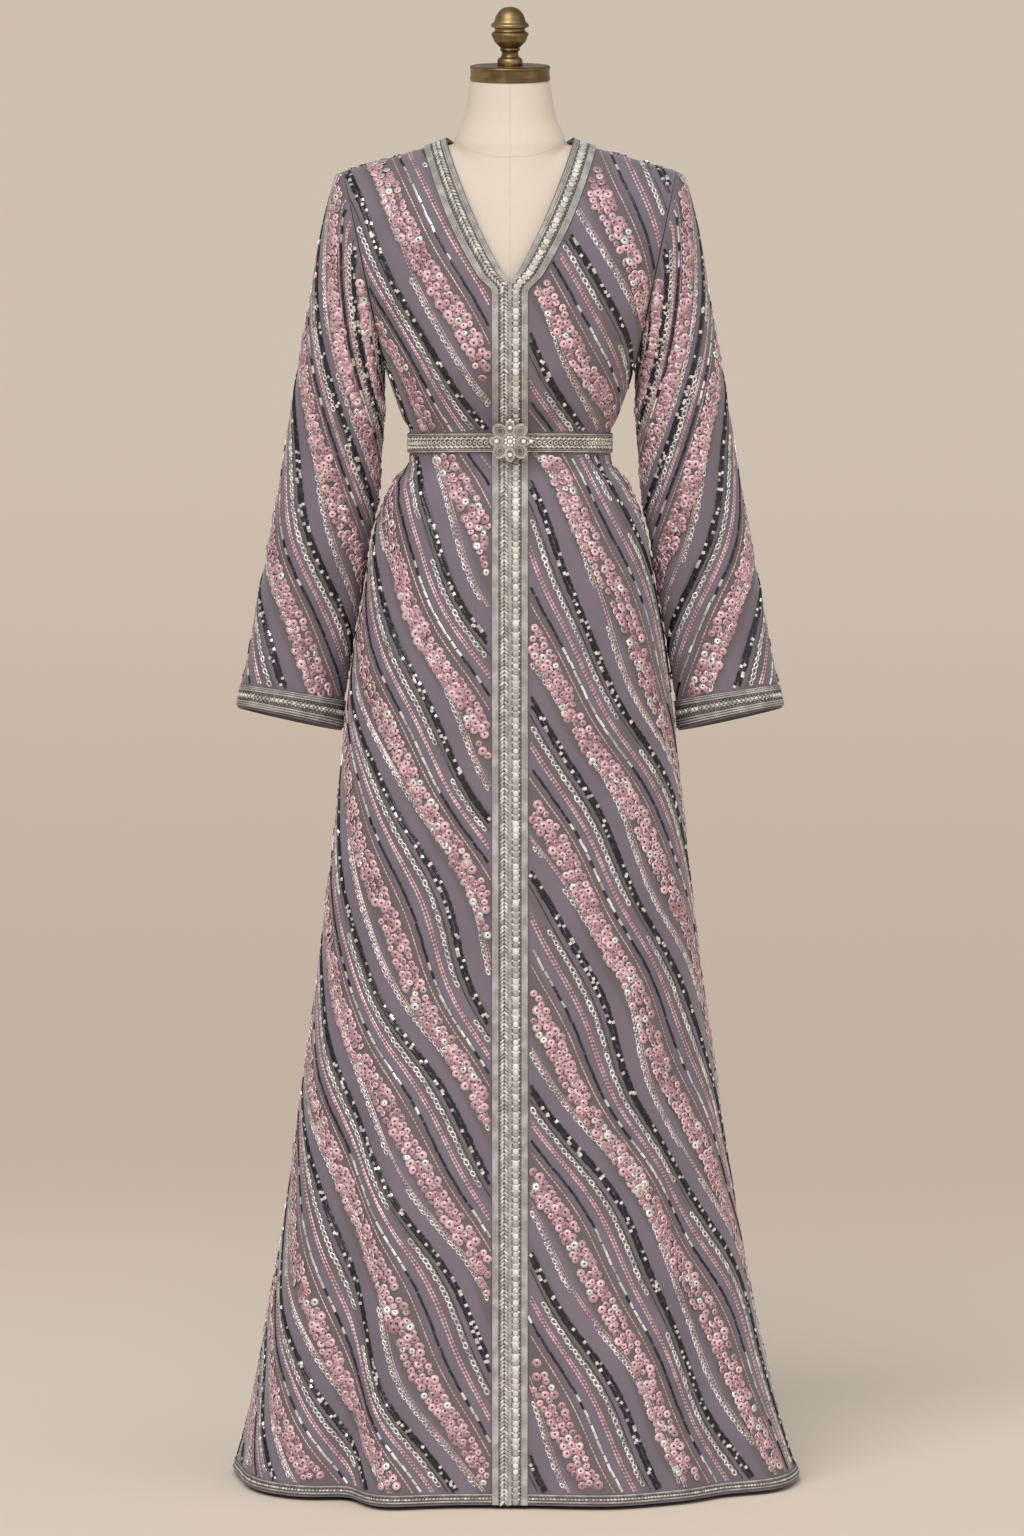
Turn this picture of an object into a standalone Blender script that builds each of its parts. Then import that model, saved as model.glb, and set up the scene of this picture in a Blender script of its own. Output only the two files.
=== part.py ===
"""A floor-length kaftan worn by a limbless dress form on its stand.

Run with: blender --background --python part.py
Metres, +Z up. The garment faces -Y, so the wearer's left is +X. The origin is the centre of
the stand's flat underside, on the floor.
"""

import math
from collections import namedtuple

import bmesh
import bpy
from mathutils import Vector

# Cloth and seams
CLOTH_WALL = 0.002
SEAM_GAP = 0.0003
ARMHOLE_GAP = 0.0009
TRIM_LIFT = 0.0003
TRIM_WALL = 0.0022
NAPE_TRIM_LIFT = 0.0008

# Landmarks of the garment's outer surface
HEM_Z = 0.005
WAIST_Z = 1.181
ARMPIT_Z = 1.272
ARMPIT_X = 0.141
SHOULDER_TIP_X = 0.186
SHOULDER_TIP_Z = 1.488
ARMHOLE_HALF_DEPTH = 0.058
SIDE_Y = 0.003
SECTION_POWER = 2.2

# Shoulder line and neckline
SHOULDER_SLOPE = 0.287
NECK_RISE_SLOPE = 0.613
NECK_RISE_SOFTNESS = 0.006
NECK_HALF_WIDTH = 0.071
NAPE_DEPTH = 0.060
BACK_ROUND_WIDTH = 0.065
BACK_ROUND_RADIUS = 0.020
V_BOTTOM_Z = 1.370
V_TOP_Z = 1.522
V_BOW = 0.005

# Braid trims
FRONT_TRIM_WIDTH = 0.0196
NECK_TRIM_WIDTH = 0.0245
NAPE_TRIM_WIDTH = 0.020
HEM_TRIM_START = 0.003
HEM_TRIM_HEIGHT = 0.0095
CUFF_START_ROW = 11.33
CUFF_END_ROW = 11.95

# Belt and rosette
BELT_HEIGHT = 0.021
BELT_WALL = 0.0025
BELT_LIFT = 0.0005
BELT_FRONT_RISE = 0.010
ROSETTE_RADIUS = 0.0250
ROSETTE_LOBES = 8
ROSETTE_LOBE_SHARE = 0.06
ROSETTE_HUB_RADIUS = 0.0125
ROSETTE_HUB_HEIGHT = 0.0062
ROSETTE_RISE = 0.005
ROSETTE_ABOVE_BELT = 0.003

# Grid counts
FRONT_COLUMNS = 17
BACK_COLUMNS = 28
YOKE_ROWS = 9
SLEEVE_SIDES = 20
FORM_SIDES = 32
TURNED_SIDES = 24

# One row for each height of the skirt and bodice, up to the armpit. Halves are measured from
# the centre line, and depths from the side seam.
BodyRow = namedtuple("BodyRow", "z right_half left_half front_depth back_depth")
BODY_ROWS = (
    BodyRow(0.005, 0.308, 0.327, 0.210, 0.216),
    BodyRow(0.043, 0.298, 0.314, 0.206, 0.212),
    BodyRow(0.100, 0.286, 0.298, 0.201, 0.206),
    BodyRow(0.200, 0.269, 0.275, 0.192, 0.198),
    BodyRow(0.310, 0.251, 0.255, 0.182, 0.188),
    BodyRow(0.430, 0.236, 0.237, 0.172, 0.178),
    BodyRow(0.550, 0.220, 0.220, 0.162, 0.167),
    BodyRow(0.700, 0.202, 0.202, 0.150, 0.153),
    BodyRow(0.845, 0.1865, 0.1865, 0.139, 0.142),
    BodyRow(0.950, 0.1750, 0.1750, 0.131, 0.134),
    BodyRow(1.025, 0.1625, 0.1625, 0.122, 0.126),
    BodyRow(1.088, 0.1505, 0.1505, 0.112, 0.114),
    BodyRow(1.138, 0.1305, 0.1305, 0.101, 0.096),
    BodyRow(1.161, 0.1130, 0.1130, 0.0895, 0.0815),
    BodyRow(1.199, 0.1130, 0.1130, 0.0895, 0.0815),
    BodyRow(1.210, 0.1195, 0.1195, 0.0920, 0.0825),
    BodyRow(1.232, 0.1275, 0.1275, 0.1030, 0.0860),
    BodyRow(1.272, 0.1410, 0.1410, 0.1180, 0.0920),
)

# Soft folds of the skirt: angles are round the body in degrees, 0 at the centre front and
# positive towards the wearer's left. Depth is positive where the cloth stands out.
Fold = namedtuple("Fold", "hem_angle top_angle spread depth top_z")
FOLDS = (
    Fold(-24.0, -33.0, 7.5, 0.020, 0.62),
    Fold(-37.0, -51.0, 7.0, -0.023, 0.62),
    Fold(-58.0, -66.0, 12.0, 0.012, 0.70),
    Fold(0.0, 0.0, 12.0, -0.010, 0.55),
    Fold(19.0, 24.0, 9.0, 0.011, 0.75),
    Fold(48.0, 54.0, 10.0, -0.014, 0.80),
    Fold(68.0, 70.0, 10.0, 0.008, 0.70),
    Fold(104.0, 108.0, 10.0, -0.013, 0.75),
    Fold(127.0, 125.0, 10.0, 0.015, 0.85),
    Fold(149.0, 146.0, 9.0, -0.015, 0.80),
    Fold(172.0, 170.0, 10.0, 0.014, 0.85),
    Fold(-165.0, -162.0, 9.0, -0.014, 0.75),
    Fold(-142.0, -140.0, 10.0, 0.016, 0.85),
    Fold(-118.0, -120.0, 10.0, -0.014, 0.80),
    Fold(-97.0, -99.0, 10.0, 0.009, 0.65),
)

# Sleeve sections from armhole to cuff, seen from the front for the wearer's left arm: the
# outer and the inner end of each section, its half depth and the depth of its centre.
SleeveRow = namedtuple("SleeveRow", "outer_x outer_z inner_x inner_z half_depth centre_y")
SLEEVE_ROWS = (
    SleeveRow(SHOULDER_TIP_X, SHOULDER_TIP_Z, ARMPIT_X, ARMPIT_Z, ARMHOLE_HALF_DEPTH, SIDE_Y),
    SleeveRow(0.1955, 1.4815, 0.1414, 1.2660, 0.0585, 0.004),
    SleeveRow(0.2010, 1.4670, 0.1416, 1.2580, 0.0590, 0.006),
    SleeveRow(0.2070, 1.4400, 0.1416, 1.2460, 0.0585, 0.008),
    SleeveRow(0.2155, 1.3950, 0.1414, 1.2260, 0.0570, 0.011),
    SleeveRow(0.2265, 1.3350, 0.1420, 1.2000, 0.0550, 0.014),
    SleeveRow(0.2370, 1.2700, 0.1440, 1.1650, 0.0530, 0.017),
    SleeveRow(0.2480, 1.2050, 0.1480, 1.1200, 0.0510, 0.020),
    SleeveRow(0.2605, 1.1300, 0.1560, 1.0750, 0.0495, 0.021),
    SleeveRow(0.2740, 1.0550, 0.1660, 1.0200, 0.0480, 0.021),
    SleeveRow(0.2865, 0.9850, 0.1755, 0.9650, 0.0465, 0.020),
    SleeveRow(0.3005, 0.9200, 0.1845, 0.9050, 0.0455, 0.018),
    SleeveRow(0.3080, 0.8800, 0.1900, 0.8540, 0.0450, 0.016),
)
CUFF_BACK_DROP = 0.17

# Soft creases of the sleeves: row is along the sleeve, angle is round it in degrees with 0
# at the outer side and 90 at the front.
Crease = namedtuple("Crease", "row angle row_spread angle_spread depth")
SLEEVE_CREASES = (
    Crease(4.2, 118.0, 1.6, 26.0, -0.0040),
    Crease(6.6, 150.0, 1.2, 30.0, -0.0035),
    Crease(8.4, 70.0, 2.0, 24.0, 0.0030),
    Crease(9.6, 120.0, 1.6, 24.0, -0.0035),
    Crease(5.5, 230.0, 1.8, 28.0, -0.0040),
    Crease(8.8, 285.0, 2.0, 26.0, 0.0030),
)

# Dress form: torso rings up to the armpit, and the neck as half widths above the shoulders.
FormRow = namedtuple("FormRow", "z half_width front_depth back_depth")
FORM_ROWS = (
    FormRow(0.925, 0.146, 0.098, 0.110),
    FormRow(0.940, 0.154, 0.105, 0.117),
    FormRow(0.975, 0.158, 0.110, 0.121),
    FormRow(1.025, 0.156, 0.112, 0.120),
    FormRow(1.088, 0.144, 0.105, 0.107),
    FormRow(1.138, 0.122, 0.093, 0.088),
    FormRow(1.160, 0.1105, 0.0870, 0.0790),
    FormRow(1.199, 0.1105, 0.0870, 0.0790),
    FormRow(1.212, 0.1150, 0.0885, 0.0795),
    FormRow(1.232, 0.1220, 0.0975, 0.0810),
    FormRow(1.272, 0.1360, 0.1130, 0.0870),
)
NeckRow = namedtuple("NeckRow", "z half_width depth_share centre_y")
NECK_ROWS = (
    NeckRow(1.440, 0.0600, 0.93, 0.004),
    NeckRow(1.505, 0.0590, 0.94, 0.003),
    NeckRow(1.533, 0.0553, 0.95, 0.001),
    NeckRow(1.545, 0.0518, 0.95, 0.000),
    NeckRow(1.562, 0.0487, 0.96, 0.000),
    NeckRow(1.590, 0.0445, 0.98, 0.000),
)
FORM_SHOULDER_HEIGHTS = (
    1.310, 1.350, 1.390, 1.425, 1.452, 1.470, 1.4805, 1.487, 1.493, 1.499,
    1.505, 1.511, 1.517, 1.523, 1.530, 1.540, 1.556, 1.574, 1.590,
)
FORM_SHOULDER_DROP = CLOTH_WALL + 0.0038
FORM_NECK_RISE_SLOPE = 0.05
FORM_PLATE_INSET = 0.004
FORM_NECK_BLEND = 0.005

# Brass cap and finial: heights above the cap's underside, and radii.
CAP_BOTTOM_Z = 1.5903
CAP_PROFILE = (
    (0.0000, 0.0000), (0.0444, 0.0000), (0.0452, 0.0012), (0.0446, 0.0152), (0.0430, 0.0168),
    (0.0000, 0.0168),
)
FINIAL_BOTTOM_Z = 1.6074
FINIAL_PROFILE = (
    (0.0000, 0.0000), (0.0137, 0.0000), (0.0143, 0.0028), (0.0136, 0.0066), (0.0100, 0.0098),
    (0.0092, 0.0130), (0.0100, 0.0158), (0.0113, 0.0172), (0.0107, 0.0190), (0.0135, 0.0218),
    (0.0178, 0.0268), (0.0196, 0.0312), (0.0208, 0.0338), (0.0206, 0.0358), (0.0172, 0.0386),
    (0.0168, 0.0408), (0.0208, 0.0428), (0.0214, 0.0446), (0.0204, 0.0464), (0.0180, 0.0484),
    (0.0160, 0.0545), (0.0118, 0.0608), (0.0062, 0.0644), (0.0000, 0.0654),
)

# Stand under the skirt
BASE_RADIUS = 0.140
BASE_THICKNESS = 0.012
BASE_EDGE_RADIUS = 0.004
SOCKET_RADIUS = 0.024
SOCKET_TOP_Z = 0.050
POLE_RADIUS = 0.014

# Colours, as linear base colour, roughness and metallic share
Finish = namedtuple("Finish", "colour roughness metallic")
CLOTH = Finish((0.125, 0.105, 0.135, 1.0), 0.75, 0.0)
SILVER_BRAID = Finish((0.42, 0.40, 0.385, 1.0), 0.5, 0.35)
SILVER_GILT = Finish((0.45, 0.41, 0.36, 1.0), 0.42, 0.6)
LINEN = Finish((0.73, 0.60, 0.47, 1.0), 0.85, 0.0)
BRASS = Finish((0.36, 0.24, 0.11, 1.0), 0.35, 1.0)
STEEL = Finish((0.05, 0.05, 0.055, 1.0), 0.5, 0.8)

SMOOTH_ANGLE = math.radians(40.0)
NORMAL_STEP = 1e-3
FULL_TURN = 2.0 * math.pi
QUARTER_TURN = 0.5 * math.pi


def clear_scene():
    """Removes whatever the scene holds."""
    for old in list(bpy.data.objects):
        bpy.data.objects.remove(old)


def read_rows(rows, position, keys):
    """Reads a table at a position by a smooth curve that never swings past its rows."""
    last = len(rows) - 1
    if position <= keys[0]:
        return rows[0]
    if position >= keys[last]:
        return rows[last]
    at = max(i for i in range(last) if keys[i] <= position)
    span = keys[at + 1] - keys[at]
    t = (position - keys[at]) / span

    def secant(low, column):
        rise = rows[low + 1][column] - rows[low][column]
        return rise / (keys[low + 1] - keys[low])

    def tangent(row, column):
        if row in (0, last):
            return secant(min(row, last - 1), column)
        below, above = secant(row - 1, column), secant(row, column)
        return 2.0 * below * above / (below + above) if below * above > 0.0 else 0.0

    values = []
    for column in range(len(rows[0])):
        start, end = rows[at][column], rows[at + 1][column]
        leave = tangent(at, column) * span
        arrive = tangent(at + 1, column) * span
        values.append(
            (2 * t**3 - 3 * t**2 + 1) * start
            + (t**3 - 2 * t**2 + t) * leave
            + (3 * t**2 - 2 * t**3) * end
            + (t**3 - t**2) * arrive
        )
    return type(rows[0])(*values)


def body_row(z):
    """The body's section sizes at a height."""
    return read_rows(BODY_ROWS, z, [row.z for row in BODY_ROWS])


def signed_power(value, power):
    """A power that keeps the sign."""
    return math.copysign(abs(value) ** power, value)


def fold_depth(angle, z):
    """How far the folds move the cloth outwards at an angle round the body and a height."""
    degrees = math.degrees(angle)
    moved = 0.0
    for fold in FOLDS:
        if z >= fold.top_z:
            continue
        rise = z / fold.top_z
        middle = fold.hem_angle + (fold.top_angle - fold.hem_angle) * rise
        off = (degrees - middle + 180.0) % 360.0 - 180.0
        fade = (1.0 - rise) ** 1.5
        moved += fold.depth * fade * math.exp(-((off / fold.spread) ** 2))
    return moved


def skirt_point(angle, z):
    """A point of the outer surface below the armpits. The angle is 0 at the centre front."""
    row = body_row(z)
    side = row.left_half if angle >= 0.0 else row.right_half
    front = math.cos(angle) >= 0.0
    depth = row.front_depth if front else row.back_depth
    across = signed_power(math.sin(angle), 2.0 / SECTION_POWER)
    along = signed_power(math.cos(angle), 2.0 / SECTION_POWER)
    outward = Vector((across / side, -along / depth, 0.0)).normalized()
    seam = -0.5 * SEAM_GAP if front else 0.5 * SEAM_GAP
    flat = Vector((side * across, SIDE_Y + seam - depth * along, z))
    moved = outward * fold_depth(angle, z)
    if abs(across) > 0.999:
        moved.y = 0.0
    return flat + moved


def shoulder_line(x):
    """Height of the shoulder seam at a distance from the centre, rising into the neck."""
    reach = (NECK_HALF_WIDTH - x) / NECK_RISE_SOFTNESS
    rise = NECK_RISE_SOFTNESS * math.log1p(math.exp(min(reach, 60.0)))
    straight = SHOULDER_TIP_Z + SHOULDER_SLOPE * (SHOULDER_TIP_X - x)
    return straight + NECK_RISE_SLOPE * rise


def armhole_reach(lift, depth):
    """Where a yoke row meets the armhole: its section's half width and its last angle."""
    edge_x = ARMPIT_X + (SHOULDER_TIP_X - ARMPIT_X) * lift
    ratio = 2.0 * ARMHOLE_HALF_DEPTH * math.sqrt(lift / (1.0 + lift)) / depth
    last = math.acos(ratio ** (SECTION_POWER / 2.0))
    half_width = edge_x / math.sin(last) ** (2.0 / SECTION_POWER)
    return half_width, last


def yoke_point(angle, tilt, facing):
    """A point of the outer surface above the armpits.

    The angle runs from the centre to the armhole, the tilt from 0 at the armpit to a quarter
    turn at the shoulder seam, and facing is -1 on the front and 1 on the back.
    """
    top = BODY_ROWS[-1]
    depth = top.front_depth if facing < 0 else top.back_depth
    lift = math.sin(tilt)
    half_width, _ = armhole_reach(lift, depth)
    x = half_width * signed_power(math.sin(angle), 2.0 / SECTION_POWER)
    out = depth * math.cos(angle) ** (2.0 / SECTION_POWER) * math.cos(tilt)
    across = abs(x) if facing < 0 else rounded_centre(x)
    z = ARMPIT_Z + (shoulder_line(across) - ARMPIT_Z) * lift
    return Vector((x, SIDE_Y + facing * (0.5 * SEAM_GAP + out), z))


def rounded_centre(x):
    """Distance from the centre of the back, rounded so that no ridge stands at the nape."""
    near = max(1.0 - (x / BACK_ROUND_WIDTH) ** 2, 0.0)
    return math.hypot(x, BACK_ROUND_RADIUS * near**2)


def bisect(wanted, low, high):
    """Where a rising function crosses zero."""
    for _ in range(40):
        middle = 0.5 * (low + high)
        if wanted(middle) < 0.0:
            low = middle
        else:
            high = middle
    return 0.5 * (low + high)


def v_edge_height(x):
    """Height of the V neckline at a distance from the centre."""
    share = x / NECK_HALF_WIDTH
    bow = 4.0 * V_BOW * share * (1.0 - share)
    return V_BOTTOM_Z + (V_TOP_Z - V_BOTTOM_Z) * max(share - bow / NECK_HALF_WIDTH, 0.0)


def angle_at(x, half_width):
    """The section angle of a distance from the centre."""
    share = min(x / half_width, 1.0)
    return math.asin(share ** (SECTION_POWER / 2.0))


def front_inner_x(tilt):
    """Where a yoke row of the front starts: at the closing, or at the V neckline."""
    start = 0.5 * SEAM_GAP
    lift = math.sin(tilt)

    def above_edge(x):
        return v_edge_height(x) - ARMPIT_Z - (shoulder_line(x) - ARMPIT_Z) * lift

    if above_edge(start) > 0.0:
        return start
    return bisect(above_edge, start, NECK_HALF_WIDTH)


def front_row_angles(half_width, last, inner_x, trim_width):
    """Column angles of a front row: two columns under the trim, then even ones."""
    edge = angle_at(inner_x, half_width)
    middle = angle_at(inner_x + 0.5 * trim_width, half_width)
    trim = angle_at(inner_x + trim_width, half_width)
    rest = FRONT_COLUMNS - 2
    return [edge, middle] + [trim + (last - trim) * i / rest for i in range(rest + 1)]


def skirt_heights():
    """Row heights from the hem to the armpit, with one at each edge of the hem trim."""
    trim = [HEM_Z + HEM_TRIM_START, HEM_Z + HEM_TRIM_START + HEM_TRIM_HEIGHT]
    return sorted([row.z for row in BODY_ROWS] + trim)


def yoke_tilts():
    """Row tilts from the armpit to the shoulder seam, closer together at the armpit."""
    return [QUARTER_TURN * (i / YOKE_ROWS) ** 1.25 for i in range(1, YOKE_ROWS + 1)]


def normal_of(surface, u, v, span_u, span_v):
    """The outward normal of a surface function, by small steps that stay inside its spans."""
    low_u, high_u = max(u - NORMAL_STEP, span_u[0]), min(u + NORMAL_STEP, span_u[1])
    low_v, high_v = max(v - NORMAL_STEP, span_v[0]), min(v + NORMAL_STEP, span_v[1])
    along_u = surface(high_u, v) - surface(low_u, v)
    along_v = surface(u, high_v) - surface(u, low_v)
    return along_u.cross(along_v).normalized()


def front_grid(hand):
    """Rows of (point, normal) of a front panel, for the wearer's right (-1) or left (1)."""
    rows = []
    for z in skirt_heights():
        half = body_row(z).left_half if hand > 0 else body_row(z).right_half
        angles = front_row_angles(half, QUARTER_TURN, 0.5 * SEAM_GAP, FRONT_TRIM_WIDTH)
        spans = ((-3.2, 3.2), (HEM_Z, ARMPIT_Z))
        row = []
        for angle in angles:
            point = skirt_point(hand * angle, z)
            normal = normal_of(skirt_point, hand * angle, z, *spans)
            row.append([point, normal])
        row[0][1].x = 0.0
        row[-1][1].y = 0.0
        rows.append(row)
    depth = BODY_ROWS[-1].front_depth
    for tilt in yoke_tilts():
        half_width, last = armhole_reach(math.sin(tilt), depth)
        inner_x = front_inner_x(tilt)
        opened = min(max(inner_x / 0.01, 0.0), 1.0)
        width = FRONT_TRIM_WIDTH + (NECK_TRIM_WIDTH - FRONT_TRIM_WIDTH) * opened
        angles = front_row_angles(half_width, last, inner_x, width)

        def surface(angle, at_tilt):
            return yoke_point(angle, at_tilt, -1)

        row = []
        for angle in angles:
            point = surface(hand * angle, tilt)
            normal = normal_of(surface, hand * angle, tilt, (-1.57, 1.57), (0.0, QUARTER_TURN))
            if tilt == QUARTER_TURN:
                normal.y = 0.0
            row.append([point, normal])
        if inner_x <= 0.5 * SEAM_GAP:
            row[0][1].x = 0.0
        rows.append(row)
    return rows


def nape_tilt(share):
    """The tilt at which a column of the back reaches the shoulder seam or the neckline."""
    depth = BODY_ROWS[-1].back_depth

    def past_edge(tilt):
        _, last = armhole_reach(math.sin(tilt), depth)
        point = yoke_point(share * last, tilt, 1)
        inside = max(1.0 - (abs(point.x) / NECK_HALF_WIDTH) ** 2, 0.0)
        return NAPE_DEPTH * math.sqrt(inside) - (point.y - SIDE_Y)

    if past_edge(QUARTER_TURN) <= 0.0:
        return QUARTER_TURN
    return bisect(past_edge, 0.0, QUARTER_TURN)


def back_grid():
    """Rows of (point, normal) of the back, from the wearer's right seam to the left one."""
    shares = [2.0 * i / BACK_COLUMNS - 1.0 for i in range(BACK_COLUMNS + 1)]
    rows = []
    for z in skirt_heights():
        row = []
        for share in shares:
            angle = share * QUARTER_TURN
            round_angle = math.pi - angle if angle >= 0.0 else -math.pi - angle
            point = skirt_point(round_angle, z)
            normal = normal_of(skirt_point, round_angle, z, (-7.0, 7.0), (HEM_Z, ARMPIT_Z))
            row.append([point, normal])
        row[0][1].y = row[-1][1].y = 0.0
        rows.append(row)
    depth = BODY_ROWS[-1].back_depth
    tops = [nape_tilt(share) for share in shares]

    def surface(share, tilt):
        _, last = armhole_reach(math.sin(tilt), depth)
        return yoke_point(share * last, tilt, 1)

    for tilt in yoke_tilts():
        row = []
        for share, top in zip(shares, tops):
            at = tilt * top / QUARTER_TURN
            normal = -normal_of(surface, share, at, (-1.0, 1.0), (0.0, QUARTER_TURN))
            if at == QUARTER_TURN:
                normal.y = 0.0
            row.append([surface(share, at), normal])
        rows.append(row)
    return rows


def wall_points(rows, near, far):
    """Two grids of points, moved out from the given rows by two distances."""
    inner = [[p + n.normalized() * near for p, n in row] for row in rows]
    outer = [[p + n.normalized() * far for p, n in row] for row in rows]
    return inner, outer


def add_object(name, mesh_builder, finish, smooth=True):
    """Makes a named object from a bmesh, with its faces pointing out and its own material."""
    bmesh.ops.recalc_face_normals(mesh_builder, faces=mesh_builder.faces)
    mesh = bpy.data.meshes.new(name)
    mesh_builder.to_mesh(mesh)
    mesh_builder.free()
    if smooth:
        mesh.shade_smooth()
        mesh.set_sharp_from_angle(angle=SMOOTH_ANGLE)
    thing = bpy.data.objects.new(name, mesh)
    bpy.context.scene.collection.objects.link(thing)
    material = bpy.data.materials.new(name)
    material.use_nodes = True
    shader = material.node_tree.nodes["Principled BSDF"]
    shader.inputs["Base Color"].default_value = finish.colour
    shader.inputs["Roughness"].default_value = finish.roughness
    shader.inputs["Metallic"].default_value = finish.metallic
    mesh.materials.append(material)
    return thing


def skin(builder, grid, closed_rows=False):
    """Lays a sheet of faces over a grid of vertices and returns nothing."""
    wide = len(grid[0])
    last = wide if closed_rows else wide - 1
    for low, high in zip(grid, grid[1:]):
        for i in range(last):
            j = (i + 1) % wide
            builder.faces.new((low[i], low[j], high[j], high[i]))


def add_wall(name, rows, near, far, finish, closed_rows=False):
    """A cloth wall between two distances from a grid: open at its edges, closed as a solid."""
    builder = bmesh.new()
    grids = []
    for points in wall_points(rows, near, far):
        grid = [[builder.verts.new(p) for p in row] for row in points]
        skin(builder, grid, closed_rows)
        grids.append(grid)
    inner, outer = grids
    rims = [(inner[0], outer[0]), (inner[-1], outer[-1])]
    if not closed_rows:
        rims.append(([row[0] for row in inner], [row[0] for row in outer]))
        rims.append(([row[-1] for row in inner], [row[-1] for row in outer]))
    for low, high in rims:
        count = len(low) if closed_rows else len(low) - 1
        for i in range(count):
            j = (i + 1) % len(low)
            builder.faces.new((low[i], low[j], high[j], high[i]))
    return add_object(name, builder, finish)


def crease_depth(row, angle):
    """How far the creases move the sleeve outwards."""
    degrees = math.degrees(angle) % 360.0
    moved = 0.0
    for crease in SLEEVE_CREASES:
        off = (degrees - crease.angle + 180.0) % 360.0 - 180.0
        along = (row - crease.row) / crease.row_spread
        moved += crease.depth * math.exp(-(along**2) - (off / crease.angle_spread) ** 2)
    return moved


def sleeve_point(angle, row, hand):
    """A point of a sleeve's outer surface. The angle is 0 outside and a quarter at the front."""
    section = read_rows(SLEEVE_ROWS, row, list(range(len(SLEEVE_ROWS))))
    outer = Vector((section.outer_x, 0.0, section.outer_z))
    inner = Vector((section.inner_x, 0.0, section.inner_z))
    middle, reach = (outer + inner) * 0.5, (outer - inner) * 0.5
    fade = min(row, 1.0) * min((len(SLEEVE_ROWS) - 1 - row) / 1.5, 1.0)
    swell = 1.0 + fade * crease_depth(row, angle) / reach.length
    point = middle + reach * (swell * math.cos(angle))
    point.y = section.centre_y - swell * section.half_depth * math.sin(angle)
    share = row / (len(SLEEVE_ROWS) - 1)
    point.z -= CUFF_BACK_DROP * share**2 * (point.y - section.centre_y)
    seam = Vector((reach.z, 0.0, -reach.x)).normalized() * ARMHOLE_GAP * max(1.0 - row, 0.0)
    point += seam
    return Vector((hand * point.x, point.y, point.z))


def sleeve_grid(hand, row_positions):
    """Rings of (point, normal) round a sleeve at the given rows."""

    def surface(angle, row):
        return sleeve_point(angle, row, hand)

    span = (0.0, float(len(SLEEVE_ROWS) - 1))
    rings = []
    for position in row_positions:
        ring = []
        for i in range(SLEEVE_SIDES):
            angle = FULL_TURN * i / SLEEVE_SIDES
            normal = normal_of(surface, angle, position, (-10.0, 10.0), span) * hand
            ring.append([surface(angle, position), normal])
        rings.append(ring)
    return rings


def add_sleeve(hand, side_name):
    """One sleeve and its braided cuff band."""
    last = float(len(SLEEVE_ROWS) - 1)
    cuff = [CUFF_START_ROW, CUFF_END_ROW]
    positions = [0.0, 0.5] + [float(i) for i in range(1, int(last))] + cuff + [last]
    add_wall(f"sleeve_{side_name}", sleeve_grid(hand, positions), -CLOTH_WALL, 0.0, CLOTH, True)
    middle = 0.5 * (CUFF_START_ROW + CUFF_END_ROW)
    band = sleeve_grid(hand, [CUFF_START_ROW, middle, CUFF_END_ROW])
    lift, top = TRIM_LIFT, TRIM_LIFT + TRIM_WALL
    add_wall(f"cuff_trim_{side_name}", band, lift, top, SILVER_BRAID, True)


def add_front(hand, side_name):
    """One front panel, the braid down its closing and round its neck, and its hem braid."""
    rows = front_grid(hand)
    add_wall(f"front_{side_name}", rows, -CLOTH_WALL, 0.0, CLOTH)
    strip = [row[:3] for row in rows]
    lift, top = TRIM_LIFT, TRIM_LIFT + TRIM_WALL
    add_wall(f"front_trim_{side_name}", strip, lift, top, SILVER_BRAID)
    heights = skirt_heights()
    low = heights.index(HEM_Z + HEM_TRIM_START)
    high = heights.index(HEM_Z + HEM_TRIM_START + HEM_TRIM_HEIGHT)
    hem = []
    for row in rows[low : high + 1]:
        start, start_normal = row[2]
        shifted = start + Vector((hand * 2.0 * SEAM_GAP, 0.0, 0.0))
        hem.append([[shifted, start_normal]] + row[3:])
    add_wall(f"hem_trim_{side_name}", hem, lift, top, SILVER_BRAID)


def add_back():
    """The back, its neck braid and its hem braid."""
    rows = back_grid()
    add_wall("back", rows, -CLOTH_WALL, 0.0, CLOTH)
    heights = skirt_heights()
    low = heights.index(HEM_Z + HEM_TRIM_START)
    high = heights.index(HEM_Z + HEM_TRIM_START + HEM_TRIM_HEIGHT)
    lift, top = TRIM_LIFT, TRIM_LIFT + TRIM_WALL
    add_wall("hem_trim_back", rows[low : high + 1], lift, top, SILVER_BRAID)
    add_nape_trim()


def nape_edge(share):
    """A point and normal of the back's neckline, at a share of the trim's sweep, -1 to 1."""
    depth = BODY_ROWS[-1].back_depth
    x = share * NECK_HALF_WIDTH

    def past_edge(tilt):
        inside = max(1.0 - share**2, 0.0)
        half_width, _ = armhole_reach(math.sin(tilt), depth)
        out = depth * (1.0 - (abs(x) / half_width) ** SECTION_POWER) ** (1.0 / SECTION_POWER)
        return NAPE_DEPTH * math.sqrt(inside) - out * math.cos(tilt)

    return x, bisect(past_edge, 0.0, QUARTER_TURN)


def back_point_at(x, tilt):
    """A point of the back's outer surface at a distance from the centre."""
    half_width, _ = armhole_reach(math.sin(tilt), BODY_ROWS[-1].back_depth)
    return yoke_point(math.copysign(angle_at(abs(x), half_width), x), tilt, 1)


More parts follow.
